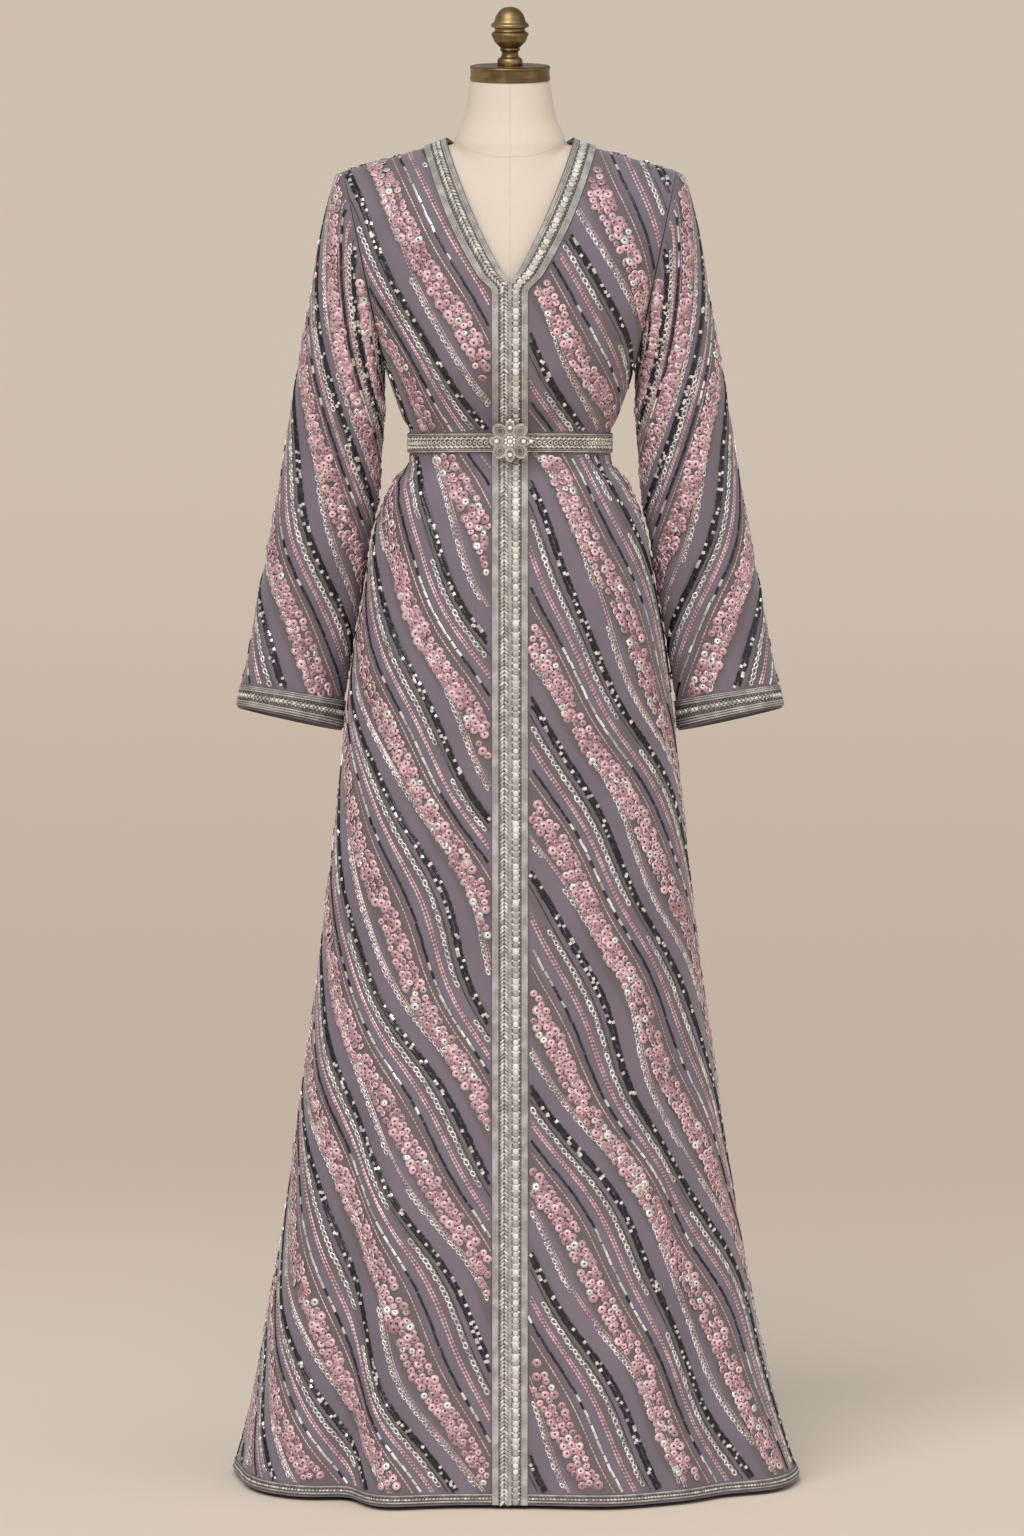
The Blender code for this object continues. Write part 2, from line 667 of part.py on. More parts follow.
def add_nape_trim():
    """The braid round the back of the neck, from one shoulder seam to the other."""
    count = 16
    rows = [[], [], []]
    for i in range(count + 1):
        sweep = math.pi * (i / count - 0.5)
        share = math.sin(sweep)
        x, tilt = nape_edge(share)
        edge = back_point_at(x, tilt)
        for k, row in enumerate(rows):
            width = NAPE_TRIM_WIDTH + (NECK_TRIM_WIDTH - NAPE_TRIM_WIDTH) * abs(share)
            away = width * k / (len(rows) - 1)
            out_x = x + away * share

            def too_near(lower):
                return (back_point_at(out_x, tilt - lower) - edge).length - away

            flat = abs(share) > 0.999
            lower = 0.0 if flat or k == 0 else bisect(too_near, 0.0, 0.9 * tilt)
            at = tilt - lower
            normal = -normal_of(back_point_at, out_x, at, (-0.2, 0.2), (0.0, QUARTER_TURN))
            if flat:
                normal.y = 0.0
            row.append([back_point_at(out_x, at), normal])
    add_wall("nape_trim", rows, NAPE_TRIM_LIFT, NAPE_TRIM_LIFT + TRIM_WALL, SILVER_BRAID)


def belt_angles():
    """Column angles round the waist: those of the fronts and of the back, once each."""
    half = body_row(WAIST_Z).left_half
    front = front_row_angles(half, QUARTER_TURN, 0.5 * SEAM_GAP, FRONT_TRIM_WIDTH)
    back = [QUARTER_TURN + math.pi * i / BACK_COLUMNS for i in range(1, BACK_COLUMNS)]
    return front + back + [-angle for angle in reversed(front)]


def belt_middle(angle):
    """Height of the belt's middle line, which rises a little towards the front."""
    return WAIST_Z + BELT_FRONT_RISE * max(math.cos(angle), 0.0)


def add_belt():
    """The waist belt: it lies on the cloth and steps out over the front braids."""
    angles = belt_angles()
    trim_edge = angles[2]
    builder = bmesh.new()
    inner, outer = [], []
    for height, rounding in ((-0.5, 0.0006), (-0.42, 0.0), (0.42, 0.0), (0.5, 0.0006)):
        near, far = [], []
        for angle in angles:
            turned = angle - FULL_TURN if angle > math.pi else angle
            z = belt_middle(turned) + height * BELT_HEIGHT
            point = skirt_point(turned, z)
            normal = normal_of(skirt_point, turned, z, (-7.0, 7.0), (HEM_Z, ARMPIT_Z))
            normal.z = 0.0
            if abs(turned) <= angles[0]:
                normal.x = 0.0
            over_trim = abs(turned) <= trim_edge
            step = TRIM_LIFT + TRIM_WALL if over_trim else 0.0
            out = normal.normalized()
            near.append(builder.verts.new(point + out * (step + BELT_LIFT)))
            far.append(builder.verts.new(point + out * (step + BELT_LIFT + BELT_WALL - rounding)))
        inner.append(near)
        outer.append(far)
    skin(builder, [inner[0]] + outer + [inner[-1]], closed_rows=True)
    skin(builder, inner, closed_rows=True)
    add_object("belt", builder, SILVER_GILT)


def add_rosette():
    """The lobed rosette that fastens the belt, on a hub that stands on the belt."""
    centre_z = belt_middle(0.0) + ROSETTE_ABOVE_BELT
    belt_top = belt_middle(0.0) + 0.5 * BELT_HEIGHT
    belt_back = skirt_point(0.0, belt_top).y - TRIM_LIFT - TRIM_WALL - BELT_LIFT
    back_y = belt_back - BELT_WALL - SEAM_GAP
    disc_y = ROSETTE_HUB_HEIGHT / ROSETTE_RISE
    hub = ROSETTE_HUB_RADIUS / ROSETTE_RADIUS
    count = 5 * ROSETTE_LOBES
    levels = (
        (hub, 0.0),
        (hub, disc_y),
        (1.00, disc_y),
        (1.00, disc_y + 0.45),
        (0.88, disc_y + 0.75),
        (0.50, disc_y + 0.70),
        (0.42, disc_y + 1.0),
        (0.20, disc_y + 1.2),
    )
    builder = bmesh.new()
    rings = []
    for share, rise in levels:
        ring = []
        for i in range(count):
            angle = FULL_TURN * i / count
            lobe = 1.0 + ROSETTE_LOBE_SHARE * math.cos(ROSETTE_LOBES * angle) * share
            radius = ROSETTE_RADIUS * share * lobe
            spot = Vector((radius * math.sin(angle), back_y - rise * ROSETTE_RISE, 0.0))
            spot.z = centre_z + radius * math.cos(angle)
            ring.append(builder.verts.new(spot))
        rings.append(ring)
    skin(builder, rings, closed_rows=True)
    builder.faces.new(rings[0])
    builder.faces.new(rings[-1])
    add_object("belt_rosette", builder, SILVER_GILT)


def form_reach(angle, z):
    """How far the torso of the dress form reaches from its axis, above the armpits."""
    top = FORM_ROWS[-1]
    plate = ARMPIT_X + (SHOULDER_TIP_X - ARMPIT_X) * (z - ARMPIT_Z) / (
        SHOULDER_TIP_Z - ARMPIT_Z
    )
    facing = -1.0 if math.cos(angle) >= 0.0 else 1.0
    depth = top.front_depth if facing < 0.0 else top.back_depth

    def outside(reach):
        x = abs(reach * math.sin(angle))
        out = abs(reach * math.cos(angle))
        inward = max(NECK_HALF_WIDTH - x, 0.0)
        ridge = shoulder_line(max(x, NECK_HALF_WIDTH)) - FORM_SHOULDER_DROP
        ridge += FORM_NECK_RISE_SLOPE * inward
        lift = (z - ARMPIT_Z) / (ridge - ARMPIT_Z)
        if lift >= 1.0 or x >= plate - FORM_PLATE_INSET:
            return 1.0
        half_width, _ = armhole_reach(lift, BODY_ROWS[-1].front_depth)
        half_width -= CLOTH_WALL + 0.0025
        if x >= half_width:
            return 1.0
        shape = (1.0 - (x / half_width) ** SECTION_POWER) ** (1.0 / SECTION_POWER)
        return out - depth * shape * math.sqrt(1.0 - lift**2)

    return bisect(outside, 0.0, 0.25)


def form_point(angle, z):
    """A point of the dress form's surface: torso and neck, blended where they meet."""
    if z <= ARMPIT_Z:
        row = read_rows(FORM_ROWS, z, [r.z for r in FORM_ROWS])
        depth = row.front_depth if math.cos(angle) >= 0.0 else row.back_depth
        across = signed_power(math.sin(angle), 2.0 / SECTION_POWER)
        along = signed_power(math.cos(angle), 2.0 / SECTION_POWER)
        return Vector((row.half_width * across, SIDE_Y - depth * along, z))
    torso = form_reach(angle, z)
    neck_row = read_rows(NECK_ROWS, z, [r.z for r in NECK_ROWS])
    across = math.sin(angle) / neck_row.half_width
    along = math.cos(angle) / (neck_row.half_width * neck_row.depth_share)
    neck = 1.0 / math.hypot(across, along)
    near = max(FORM_NECK_BLEND - abs(torso - neck), 0.0) / FORM_NECK_BLEND
    reach = max(torso, neck) + near * near * FORM_NECK_BLEND / 4.0
    share = min(max((z - NECK_ROWS[0].z) / (NECK_ROWS[2].z - NECK_ROWS[0].z), 0.0), 1.0)
    centre_y = SIDE_Y + (neck_row.centre_y - SIDE_Y) * share
    return Vector((reach * math.sin(angle), centre_y - reach * math.cos(angle), z))


def add_form():
    """The linen-covered dress form, one closed solid from hip to neck."""
    heights = [row.z for row in FORM_ROWS] + list(FORM_SHOULDER_HEIGHTS)
    builder = bmesh.new()
    rings = []
    for z in heights:
        angles = [FULL_TURN * i / FORM_SIDES for i in range(FORM_SIDES)]
        if z > ARMPIT_Z:
            angles = [ring_angle(z, i) for i in range(FORM_SIDES)]
        rings.append([builder.verts.new(form_point(angle, z)) for angle in angles])
    skin(builder, rings, closed_rows=True)
    builder.faces.new(rings[0])
    builder.faces.new(rings[-1])
    add_object("dress_form", builder, LINEN)


def ring_angle(z, index):
    """Polar angles of a shoulder ring, drawn from section angles so that they match below."""
    section = FULL_TURN * index / FORM_SIDES
    top = FORM_ROWS[-1]
    depth = top.front_depth if math.cos(section) >= 0.0 else top.back_depth
    across = top.half_width * signed_power(math.sin(section), 2.0 / SECTION_POWER)
    along = depth * signed_power(math.cos(section), 2.0 / SECTION_POWER)
    return math.atan2(across, along)


def add_turned(name, profile, bottom_z, finish):
    """A solid of revolution about the vertical axis, from (radius, height) pairs."""
    builder = bmesh.new()
    verts = [builder.verts.new((radius, 0.0, bottom_z + height)) for radius, height in profile]
    edges = [builder.edges.new(pair) for pair in zip(verts, verts[1:])]
    bmesh.ops.spin(
        builder,
        geom=verts + edges,
        cent=(0.0, 0.0, 0.0),
        axis=(0.0, 0.0, 1.0),
        angle=FULL_TURN,
        steps=TURNED_SIDES,
        use_merge=True,
    )
    bmesh.ops.remove_doubles(builder, verts=builder.verts, dist=1e-6)
    return add_object(name, builder, finish)


def add_stand():
    """The flat round base with its socket, and the pole that carries the form."""
    edge = BASE_EDGE_RADIUS
    base = (
        (0.0, 0.0),
        (BASE_RADIUS, 0.0),
        (BASE_RADIUS, BASE_THICKNESS - edge),
        (BASE_RADIUS - edge, BASE_THICKNESS),
        (SOCKET_RADIUS + edge, BASE_THICKNESS),
        (SOCKET_RADIUS, BASE_THICKNESS + edge),
        (SOCKET_RADIUS, SOCKET_TOP_Z - edge),
        (SOCKET_RADIUS - edge, SOCKET_TOP_Z),
        (0.0, SOCKET_TOP_Z),
    )
    add_turned("stand_base", base, 0.0, STEEL)
    bottom = SOCKET_TOP_Z + SEAM_GAP
    height = FORM_ROWS[0].z - SEAM_GAP - bottom
    pole = ((0.0, 0.0), (POLE_RADIUS, 0.0), (POLE_RADIUS, height), (0.0, height))
    add_turned("stand_pole", pole, bottom, STEEL)


def build():
    """Makes every piece of the kaftan and of what carries it."""
    clear_scene()
    for hand, side_name in ((-1, "right"), (1, "left")):
        add_front(hand, side_name)
        add_sleeve(hand, side_name)
    add_back()
    add_belt()
    add_rosette()
    add_form()
    add_turned("neck_cap", CAP_PROFILE, CAP_BOTTOM_Z, BRASS)
    add_turned("finial", FINIAL_PROFILE, FINIAL_BOTTOM_Z, BRASS)
    add_stand()


if __name__ == "__main__":
    build()
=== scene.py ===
"""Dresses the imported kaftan: cloth, beadwork, braids, belt, dress form, stand and studio.

Metres, +Z up. The garment faces -Y, so the wearer's left is +X. Angles round the body are 0 at
the centre front and positive towards the wearer's left.
"""

import logging
import math
from collections.abc import Callable, Iterator, Sequence
from dataclasses import dataclass
from enum import Enum

import bmesh
import bpy
import numpy as np
from mathutils import Matrix, Vector


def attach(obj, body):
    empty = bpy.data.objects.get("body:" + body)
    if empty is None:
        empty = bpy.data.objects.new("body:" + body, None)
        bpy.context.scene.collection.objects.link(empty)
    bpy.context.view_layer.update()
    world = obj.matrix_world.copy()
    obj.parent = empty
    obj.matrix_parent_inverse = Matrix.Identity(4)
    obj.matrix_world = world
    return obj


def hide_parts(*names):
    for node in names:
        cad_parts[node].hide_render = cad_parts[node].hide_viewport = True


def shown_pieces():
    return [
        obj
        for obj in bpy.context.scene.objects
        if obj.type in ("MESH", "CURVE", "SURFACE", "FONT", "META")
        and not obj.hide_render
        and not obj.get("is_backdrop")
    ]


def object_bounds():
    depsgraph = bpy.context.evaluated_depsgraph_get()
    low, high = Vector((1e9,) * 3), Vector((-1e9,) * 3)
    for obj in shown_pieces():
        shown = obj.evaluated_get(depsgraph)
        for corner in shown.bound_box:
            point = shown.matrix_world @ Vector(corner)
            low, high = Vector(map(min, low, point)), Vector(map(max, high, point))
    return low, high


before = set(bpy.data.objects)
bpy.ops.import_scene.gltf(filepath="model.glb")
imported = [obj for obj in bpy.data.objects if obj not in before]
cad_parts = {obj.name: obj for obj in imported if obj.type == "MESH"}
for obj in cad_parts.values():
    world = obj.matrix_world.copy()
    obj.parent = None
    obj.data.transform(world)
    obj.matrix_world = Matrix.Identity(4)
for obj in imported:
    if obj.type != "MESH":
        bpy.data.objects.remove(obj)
CAD_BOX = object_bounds()

Array = np.ndarray
BMesh = bmesh.types.BMesh
Colour = tuple[float, float, float, float]
Material = bpy.types.Material
Piece = bpy.types.Object
log = logging.getLogger("kaftan")

ROOT = "root"
FULL_TURN = 2.0 * math.pi
QUARTER_TURN = 0.5 * math.pi
SECTION_POWER = 2.2
SEAM_GAP = 0.0003
SIDE_Y = 0.003
HEM_Z = 0.005
ARMPIT_Z = 1.272
ARMPIT_X = 0.141
SHOULDER_TIP_X = 0.186
SHOULDER_TIP_Z = 1.488
NECK_HALF_WIDTH = 0.071
HEM_TRIM_START = 0.003
HEM_TRIM_HEIGHT = 0.0095
FRONT_TRIM_WIDTH = 0.0196
NECK_TRIM_WIDTH = 0.0245
NAPE_TRIM_WIDTH = 0.02
NAPE_DEPTH = 0.06
WAIST_Z = 1.181
BELT_HEIGHT = 0.021
ROSETTE_ABOVE_BELT = 0.003
BELT_FRONT_RISE = 0.01
BELT_FRONT_DEPTH = 0.0895
CLOTH_SHEET = 0.0012
BRAID_LIFT = 0.0003
BRAID_WALL = 0.0022
BELT_LIFT = 0.0005
BELT_WALL = 0.0025
FACING = ((1.0, 0.0, 0.0), (0.0, 0.0, 1.0), (0.0, -1.0, 0.0))
CUFF_START_ROW = 11.33
CUFF_END_ROW = 11.95
LAST_SLEEVE_ROW = 12.0

# Height, wearer's right half, left half, front depth and back depth of the garment.
BODY_ROWS = (
    (0.005, 0.308, 0.327, 0.21, 0.216),
    (0.043, 0.298, 0.314, 0.206, 0.212),
    (0.1, 0.286, 0.298, 0.201, 0.206),
    (0.2, 0.269, 0.275, 0.192, 0.198),
    (0.31, 0.251, 0.255, 0.182, 0.188),
    (0.43, 0.236, 0.237, 0.172, 0.178),
    (0.55, 0.22, 0.22, 0.162, 0.167),
    (0.7, 0.202, 0.202, 0.15, 0.153),
    (0.845, 0.1865, 0.1865, 0.139, 0.142),
    (0.95, 0.175, 0.175, 0.131, 0.134),
    (1.025, 0.1625, 0.1625, 0.122, 0.126),
    (1.088, 0.1505, 0.1505, 0.112, 0.114),
    (1.138, 0.1305, 0.1305, 0.101, 0.096),
    (1.161, 0.113, 0.113, 0.0895, 0.0815),
    (1.199, 0.113, 0.113, 0.0895, 0.0815),
    (1.21, 0.1195, 0.1195, 0.092, 0.0825),
    (1.232, 0.1275, 0.1275, 0.103, 0.086),
    (1.272, 0.141, 0.141, 0.118, 0.092),
)

# Angle at the hem, angle at the top, spread in degrees, depth and top height of each soft fold.
FOLDS = (
    (-24.0, -33.0, 7.5, 0.02, 0.62),
    (-37.0, -51.0, 7.0, -0.023, 0.62),
    (-58.0, -66.0, 12.0, 0.012, 0.7),
    (0.0, 0.0, 12.0, -0.01, 0.55),
    (19.0, 24.0, 9.0, 0.011, 0.75),
    (48.0, 54.0, 10.0, -0.014, 0.8),
    (68.0, 70.0, 10.0, 0.008, 0.7),
    (104.0, 108.0, 10.0, -0.013, 0.75),
    (127.0, 125.0, 10.0, 0.015, 0.85),
    (149.0, 146.0, 9.0, -0.015, 0.8),
    (172.0, 170.0, 10.0, 0.014, 0.85),
    (-165.0, -162.0, 9.0, -0.014, 0.75),
    (-142.0, -140.0, 10.0, 0.016, 0.85),
    (-118.0, -120.0, 10.0, -0.014, 0.8),
    (-97.0, -99.0, 10.0, 0.009, 0.65),
)

# Outer x and z, inner x and z, half depth and centre depth of each sleeve section.
SLEEVE_ROWS = (
    (0.186, 1.488, 0.141, 1.272, 0.058, 0.003),
    (0.1955, 1.4815, 0.1414, 1.266, 0.0585, 0.004),
    (0.201, 1.467, 0.1416, 1.258, 0.059, 0.006),
    (0.207, 1.44, 0.1416, 1.246, 0.0585, 0.008),
    (0.2155, 1.395, 0.1414, 1.226, 0.057, 0.011),
    (0.2265, 1.335, 0.142, 1.2, 0.055, 0.014),
    (0.237, 1.27, 0.144, 1.165, 0.053, 0.017),
    (0.248, 1.205, 0.148, 1.12, 0.051, 0.02),
    (0.2605, 1.13, 0.156, 1.075, 0.0495, 0.021),
    (0.274, 1.055, 0.166, 1.02, 0.048, 0.021),
    (0.2865, 0.985, 0.1755, 0.965, 0.0465, 0.02),
    (0.3005, 0.92, 0.1845, 0.905, 0.0455, 0.018),
    (0.308, 0.88, 0.19, 0.854, 0.045, 0.016),
)

# Row, angle, spread along, spread round in degrees and depth of each sleeve crease.
CREASES = (
    (4.2, 118.0, 1.6, 26.0, -0.004),
    (6.6, 150.0, 1.2, 30.0, -0.0035),
    (8.4, 70.0, 2.0, 24.0, 0.003),
    (9.6, 120.0, 1.6, 24.0, -0.0035),
    (5.5, 230.0, 1.8, 28.0, -0.004),
    (8.8, 285.0, 2.0, 26.0, 0.003),
)

# Height, half width, front depth and back depth of the form's torso.
FORM_ROWS = (
    (0.925, 0.146, 0.098, 0.11),
    (0.94, 0.154, 0.105, 0.117),
    (0.975, 0.158, 0.11, 0.121),
    (1.025, 0.156, 0.112, 0.12),
    (1.088, 0.144, 0.105, 0.107),
    (1.138, 0.122, 0.093, 0.088),
    (1.16, 0.1105, 0.087, 0.079),
    (1.199, 0.1105, 0.087, 0.079),
    (1.212, 0.115, 0.0885, 0.0795),
    (1.232, 0.122, 0.0975, 0.081),
    (1.272, 0.136, 0.113, 0.087),
)

# Height, half width, share of depth and centre depth of the form's neck.
NECK_ROWS = (
    (1.44, 0.064, 0.89, 0.0),
    (1.505, 0.065, 0.9, -0.001),
    (1.52, 0.063, 0.91, -0.001),
    (1.533, 0.0585, 0.93, 0.0),
    (1.545, 0.053, 0.95, 0.0),
    (1.562, 0.0489, 0.96, 0.0),
    (1.59, 0.0445, 0.98, 0.0),
)

# Radius and height of the turned brass, from the underside of each piece.
CAP_BOTTOM_Z = 1.5903
CAP_PROFILE = (
    (0.0, 0.0), (0.0444, 0.0), (0.045, 0.0006), (0.0452, 0.0016), (0.0452, 0.0036),
    (0.0444, 0.0044), (0.0444, 0.0128), (0.0451, 0.0136), (0.0451, 0.0148), (0.0446, 0.0158),
    (0.0432, 0.0166), (0.041, 0.0168), (0.0, 0.0168),
)
FINIAL_BOTTOM_Z = 1.6074
FINIAL_PROFILE = (
    (0.0, 0.0), (0.0137, 0.0), (0.0143, 0.0028), (0.0136, 0.0066), (0.01, 0.0098),
    (0.0092, 0.013), (0.01, 0.0158), (0.0113, 0.0172), (0.0107, 0.019), (0.0135, 0.0218),
    (0.0178, 0.0268), (0.0196, 0.0312), (0.0208, 0.0338), (0.0206, 0.0358), (0.0172, 0.0386),
    (0.0168, 0.0408), (0.0208, 0.0428), (0.0214, 0.0446), (0.0204, 0.0464), (0.018, 0.0484),
    (0.016, 0.0545), (0.0118, 0.0608), (0.0062, 0.0644), (0.0, 0.0654),
)


def signed_power(value: Array, power: float) -> Array:
    """A power that keeps the sign."""
    return np.sign(value) * np.abs(value) ** power


def unit(vectors: Array) -> Array:
    """The same vectors with a length of one."""
    return vectors / np.maximum(np.linalg.norm(vectors, axis=-1, keepdims=True), 1e-12)


def rising_root(wanted: Callable[[Array], Array], low: Array, high: Array) -> Array:
    """Where a rising function of many values crosses zero.

    Args:
        wanted: The function, which takes and returns one value for each place.
        low: Where each search starts.
        high: Where each search ends.

    Returns:
        The crossing of each place.
    """
    for _ in range(36):
        middle = 0.5 * (low + high)
        below = wanted(middle) < 0.0
        low = np.where(below, middle, low)
        high = np.where(below, high, middle)
    return 0.5 * (low + high)


class RowTable:
    """Rows of sizes, read in between by a smooth curve that never swings past them."""

    def __init__(self, keys: Sequence[float], rows: Sequence[Sequence[float]]) -> None:
        """Works out the curve's slopes.

        Args:
            keys: The position of each row, rising.
            rows: The sizes of each row.
        """
        self.keys = np.array(keys, dtype=float)
        self.rows = np.array(rows, dtype=float)
        secants = np.diff(self.rows, axis=0) / np.diff(self.keys)[:, None]
        below, above = secants[:-1], secants[1:]
        same = below * above > 0.0
        total = np.where(same, below + above, 1.0)
        middle = np.where(same, 2.0 * below * above / total, 0.0)
        self.slopes = np.vstack([secants[:1], middle, secants[-1:]])

    @classmethod
    def keyed(cls, rows: Sequence[Sequence[float]]) -> "RowTable":
        """A table of rows that begin with their own position."""
        return cls([row[0] for row in rows], [row[1:] for row in rows])

    def read(self, position: Array) -> Array:
        """The sizes at many positions.

        Args:
            position: The positions, in any shape.

        Returns:
            The sizes, with one more axis for the columns.
        """
        position = np.asarray(position, dtype=float)
        at = np.searchsorted(self.keys, position, side="right") - 1
        at = np.clip(at, 0, len(self.keys) - 2)
        span = self.keys[at + 1] - self.keys[at]
        t = np.clip((position - self.keys[at]) / span, 0.0, 1.0)[..., None]
        leave = self.slopes[at] * span[..., None]
        arrive = self.slopes[at + 1] * span[..., None]
        return (
            (2 * t**3 - 3 * t**2 + 1) * self.rows[at]
            + (t**3 - 2 * t**2 + t) * leave
            + (3 * t**2 - 2 * t**3) * self.rows[at + 1]
            + (t**3 - t**2) * arrive
        )


@dataclass(frozen=True)
class BodyShape:
    """The garment's outer surface over skirt, bodice and yoke."""

    armhole_half_depth: float = 0.058
    shoulder_slope: float = 0.287
    neck_rise_slope: float = 0.613
    neck_rise_softness: float = 0.006
    v_bottom_z: float = 1.37
    v_top_z: float = 1.522
    v_bow: float = 0.005
    back_round_width: float = 0.065
    back_round_radius: float = 0.02
    table: RowTable = RowTable.keyed(BODY_ROWS)

    def sizes(self, z: Array) -> Array:
        """Right half, left half, front depth and back depth at heights."""
        return self.table.read(z)

    def fold_depth(self, angle: Array, z: Array) -> Array:
        """How far the folds move the cloth outwards.

        Args:
            angle: Angles round the body.
            z: Heights.

        Returns:
            The distances, in metres.
        """
        degrees = np.degrees(angle)
        moved = np.zeros(np.broadcast(angle, z).shape)
        for hem_angle, top_angle, spread, depth, top_z in FOLDS:
            rise = np.clip(z / top_z, 0.0, 1.0)
            middle = hem_angle + (top_angle - hem_angle) * rise
            off = (degrees - middle + 180.0) % 360.0 - 180.0
            moved += depth * (1.0 - rise) ** 1.5 * np.exp(-((off / spread) ** 2))
        return moved

    def small_folds(self, angle: Array, z: Array) -> Array:
        """Shallow gathers that run out above and below the belt, and slow waves of the skirt.

        Args:
            angle: Angles round the body.
            z: Heights.

        Returns:
            How far they move the cloth outwards.
        """
        low = np.clip((1.158 - z) / 0.012, 0.0, 1.0) * np.exp(-np.clip(1.158 - z, 0.0, 9.0) / 0.045)
        high = np.clip((z - 1.202) / 0.012, 0.0, 1.0) * np.exp(-np.clip(z - 1.202, 0.0, 9.0) / 0.03)
        pleats = np.sin(23.0 * angle + 1.4 * np.sin(5.0 * angle)) * (0.0011 * low + 0.0007 * high)
        skirt = np.clip((1.0 - z) / 0.7, 0.0, 1.0) ** 1.2
        waves = np.sin(9.0 * angle + 2.4 * z + 0.7) + 0.6 * np.sin(14.0 * angle - 3.0 * z)
        return pleats + 0.0013 * skirt * waves

    def skirt(self, angle: Array, z: Array) -> Array:
        """Points of the surface below the armpits.

        Args:
            angle: Angles round the body.
            z: Heights.

        Returns:
            The points.
        """
        angle, z = np.broadcast_arrays(np.asarray(angle, dtype=float), np.asarray(z, dtype=float))
        sizes = self.sizes(z)
        side = np.where(angle >= 0.0, sizes[..., 1], sizes[..., 0])
        front = np.cos(angle) >= 0.0
        depth = np.where(front, sizes[..., 2], sizes[..., 3])
        across = signed_power(np.sin(angle), 2.0 / SECTION_POWER)
        along = signed_power(np.cos(angle), 2.0 / SECTION_POWER)
        outward = unit(np.stack([across / side, -along / depth], axis=-1))
        at_seam = np.abs(across) > 0.999
        moved = outward * (self.fold_depth(angle, z) + self.small_folds(angle, z))[..., None]
        sideways = np.where(at_seam, 0.0, moved[..., 1])
        seam = np.where(front, -0.5 * SEAM_GAP, 0.5 * SEAM_GAP)
        x = side * across + moved[..., 0]
        y = SIDE_Y + seam - depth * along + sideways
        return np.stack([x, y, z], axis=-1)

    def shoulder_line(self, x: Array) -> Array:
        """Height of the shoulder seam at distances from the centre.

        Args:
            x: The distances.

        Returns:
            The heights.
        """
        reach = (NECK_HALF_WIDTH - x) / self.neck_rise_softness
        rise = self.neck_rise_softness * np.logaddexp(0.0, reach)
        straight = SHOULDER_TIP_Z + self.shoulder_slope * (SHOULDER_TIP_X - x)
        return straight + self.neck_rise_slope * rise

    def armhole_reach(self, lift: Array, depth: float) -> tuple[Array, Array]:
        """Where yoke rows meet the armhole.

        Args:
            lift: Share of the rise from armpit to shoulder.
            depth: Depth of the section at the armpit.

        Returns:
            The half width of each section and its last angle.
        """
        edge_x = ARMPIT_X + (SHOULDER_TIP_X - ARMPIT_X) * lift
        ratio = 2.0 * self.armhole_half_depth * np.sqrt(lift / (1.0 + lift)) / depth
        last = np.arccos(ratio ** (SECTION_POWER / 2.0))
        return edge_x / np.sin(last) ** (2.0 / SECTION_POWER), last

    def top_depth(self, facing: int) -> float:
        """Depth of the section at the armpit, on the front (-1) or the back (1)."""
        return BODY_ROWS[-1][3] if facing < 0 else BODY_ROWS[-1][4]

    def yoke(self, angle: Array, tilt: Array, facing: int) -> Array:
        """Points of the surface above the armpits.

        Args:
            angle: Angles from the centre towards the armhole.
            tilt: From 0 at the armpit to a quarter turn at the shoulder seam.
            facing: -1 on the front and 1 on the back.

        Returns:
            The points.
        """
        angle, tilt = np.broadcast_arrays(angle, tilt)
        depth = self.top_depth(facing)
        lift = np.sin(tilt)
        half_width, _ = self.armhole_reach(lift, depth)
        x = half_width * signed_power(np.sin(angle), 2.0 / SECTION_POWER)
        out = depth * np.abs(np.cos(angle)) ** (2.0 / SECTION_POWER) * np.cos(tilt)
        across = np.abs(x) if facing < 0 else self.rounded_centre(x)
        z = ARMPIT_Z + (self.shoulder_line(across) - ARMPIT_Z) * lift
        y = SIDE_Y + facing * (0.5 * SEAM_GAP + out)
        return np.stack([x, y, z], axis=-1)

    def rounded_centre(self, x: Array) -> Array:
        """Distance from the centre of the back, rounded so that no ridge stands at the nape."""
        near = np.maximum(1.0 - (x / self.back_round_width) ** 2, 0.0)
        return np.hypot(x, self.back_round_radius * near**2)

    def v_edge(self, x: Array) -> Array:
        """Height of the V neckline at distances from the centre.

        Args:
            x: The distances.

        Returns:
            The heights.
        """
        share = x / NECK_HALF_WIDTH
        bow = 4.0 * self.v_bow * share * (1.0 - share)
        rise = np.maximum(share - bow / NECK_HALF_WIDTH, 0.0)
        return self.v_bottom_z + (self.v_top_z - self.v_bottom_z) * rise

    def neck_start(self, tilt: Array) -> Array:
        """Distance from the centre at which yoke rows of the front start.

        Args:
            tilt: Tilt of each row.

        Returns:
            The distances.
        """
        start = np.full(np.shape(tilt), 0.5 * SEAM_GAP)
        lift = np.sin(tilt)

        def above(x: Array) -> Array:
            """How far the V edge stands above the row."""
            return self.v_edge(x) - ARMPIT_Z - (self.shoulder_line(x) - ARMPIT_Z) * lift

        found = rising_root(above, start, np.full(np.shape(tilt), NECK_HALF_WIDTH))
        return np.where(above(start) > 0.0, start, found)

    def angle_at(self, x: Array, half_width: Array) -> Array:
        """The section angle of a distance from the centre."""
        return np.arcsin(np.clip(x / half_width, 0.0, 1.0) ** (SECTION_POWER / 2.0))

    def nape_tilt(self, share: Array) -> Array:
        """The tilt at which columns of the back reach the shoulder seam or the neckline.

        Args:
            share: Share of the half width of each column, below zero on the right.

        Returns:
            The tilts.
        """
        depth = self.top_depth(1)

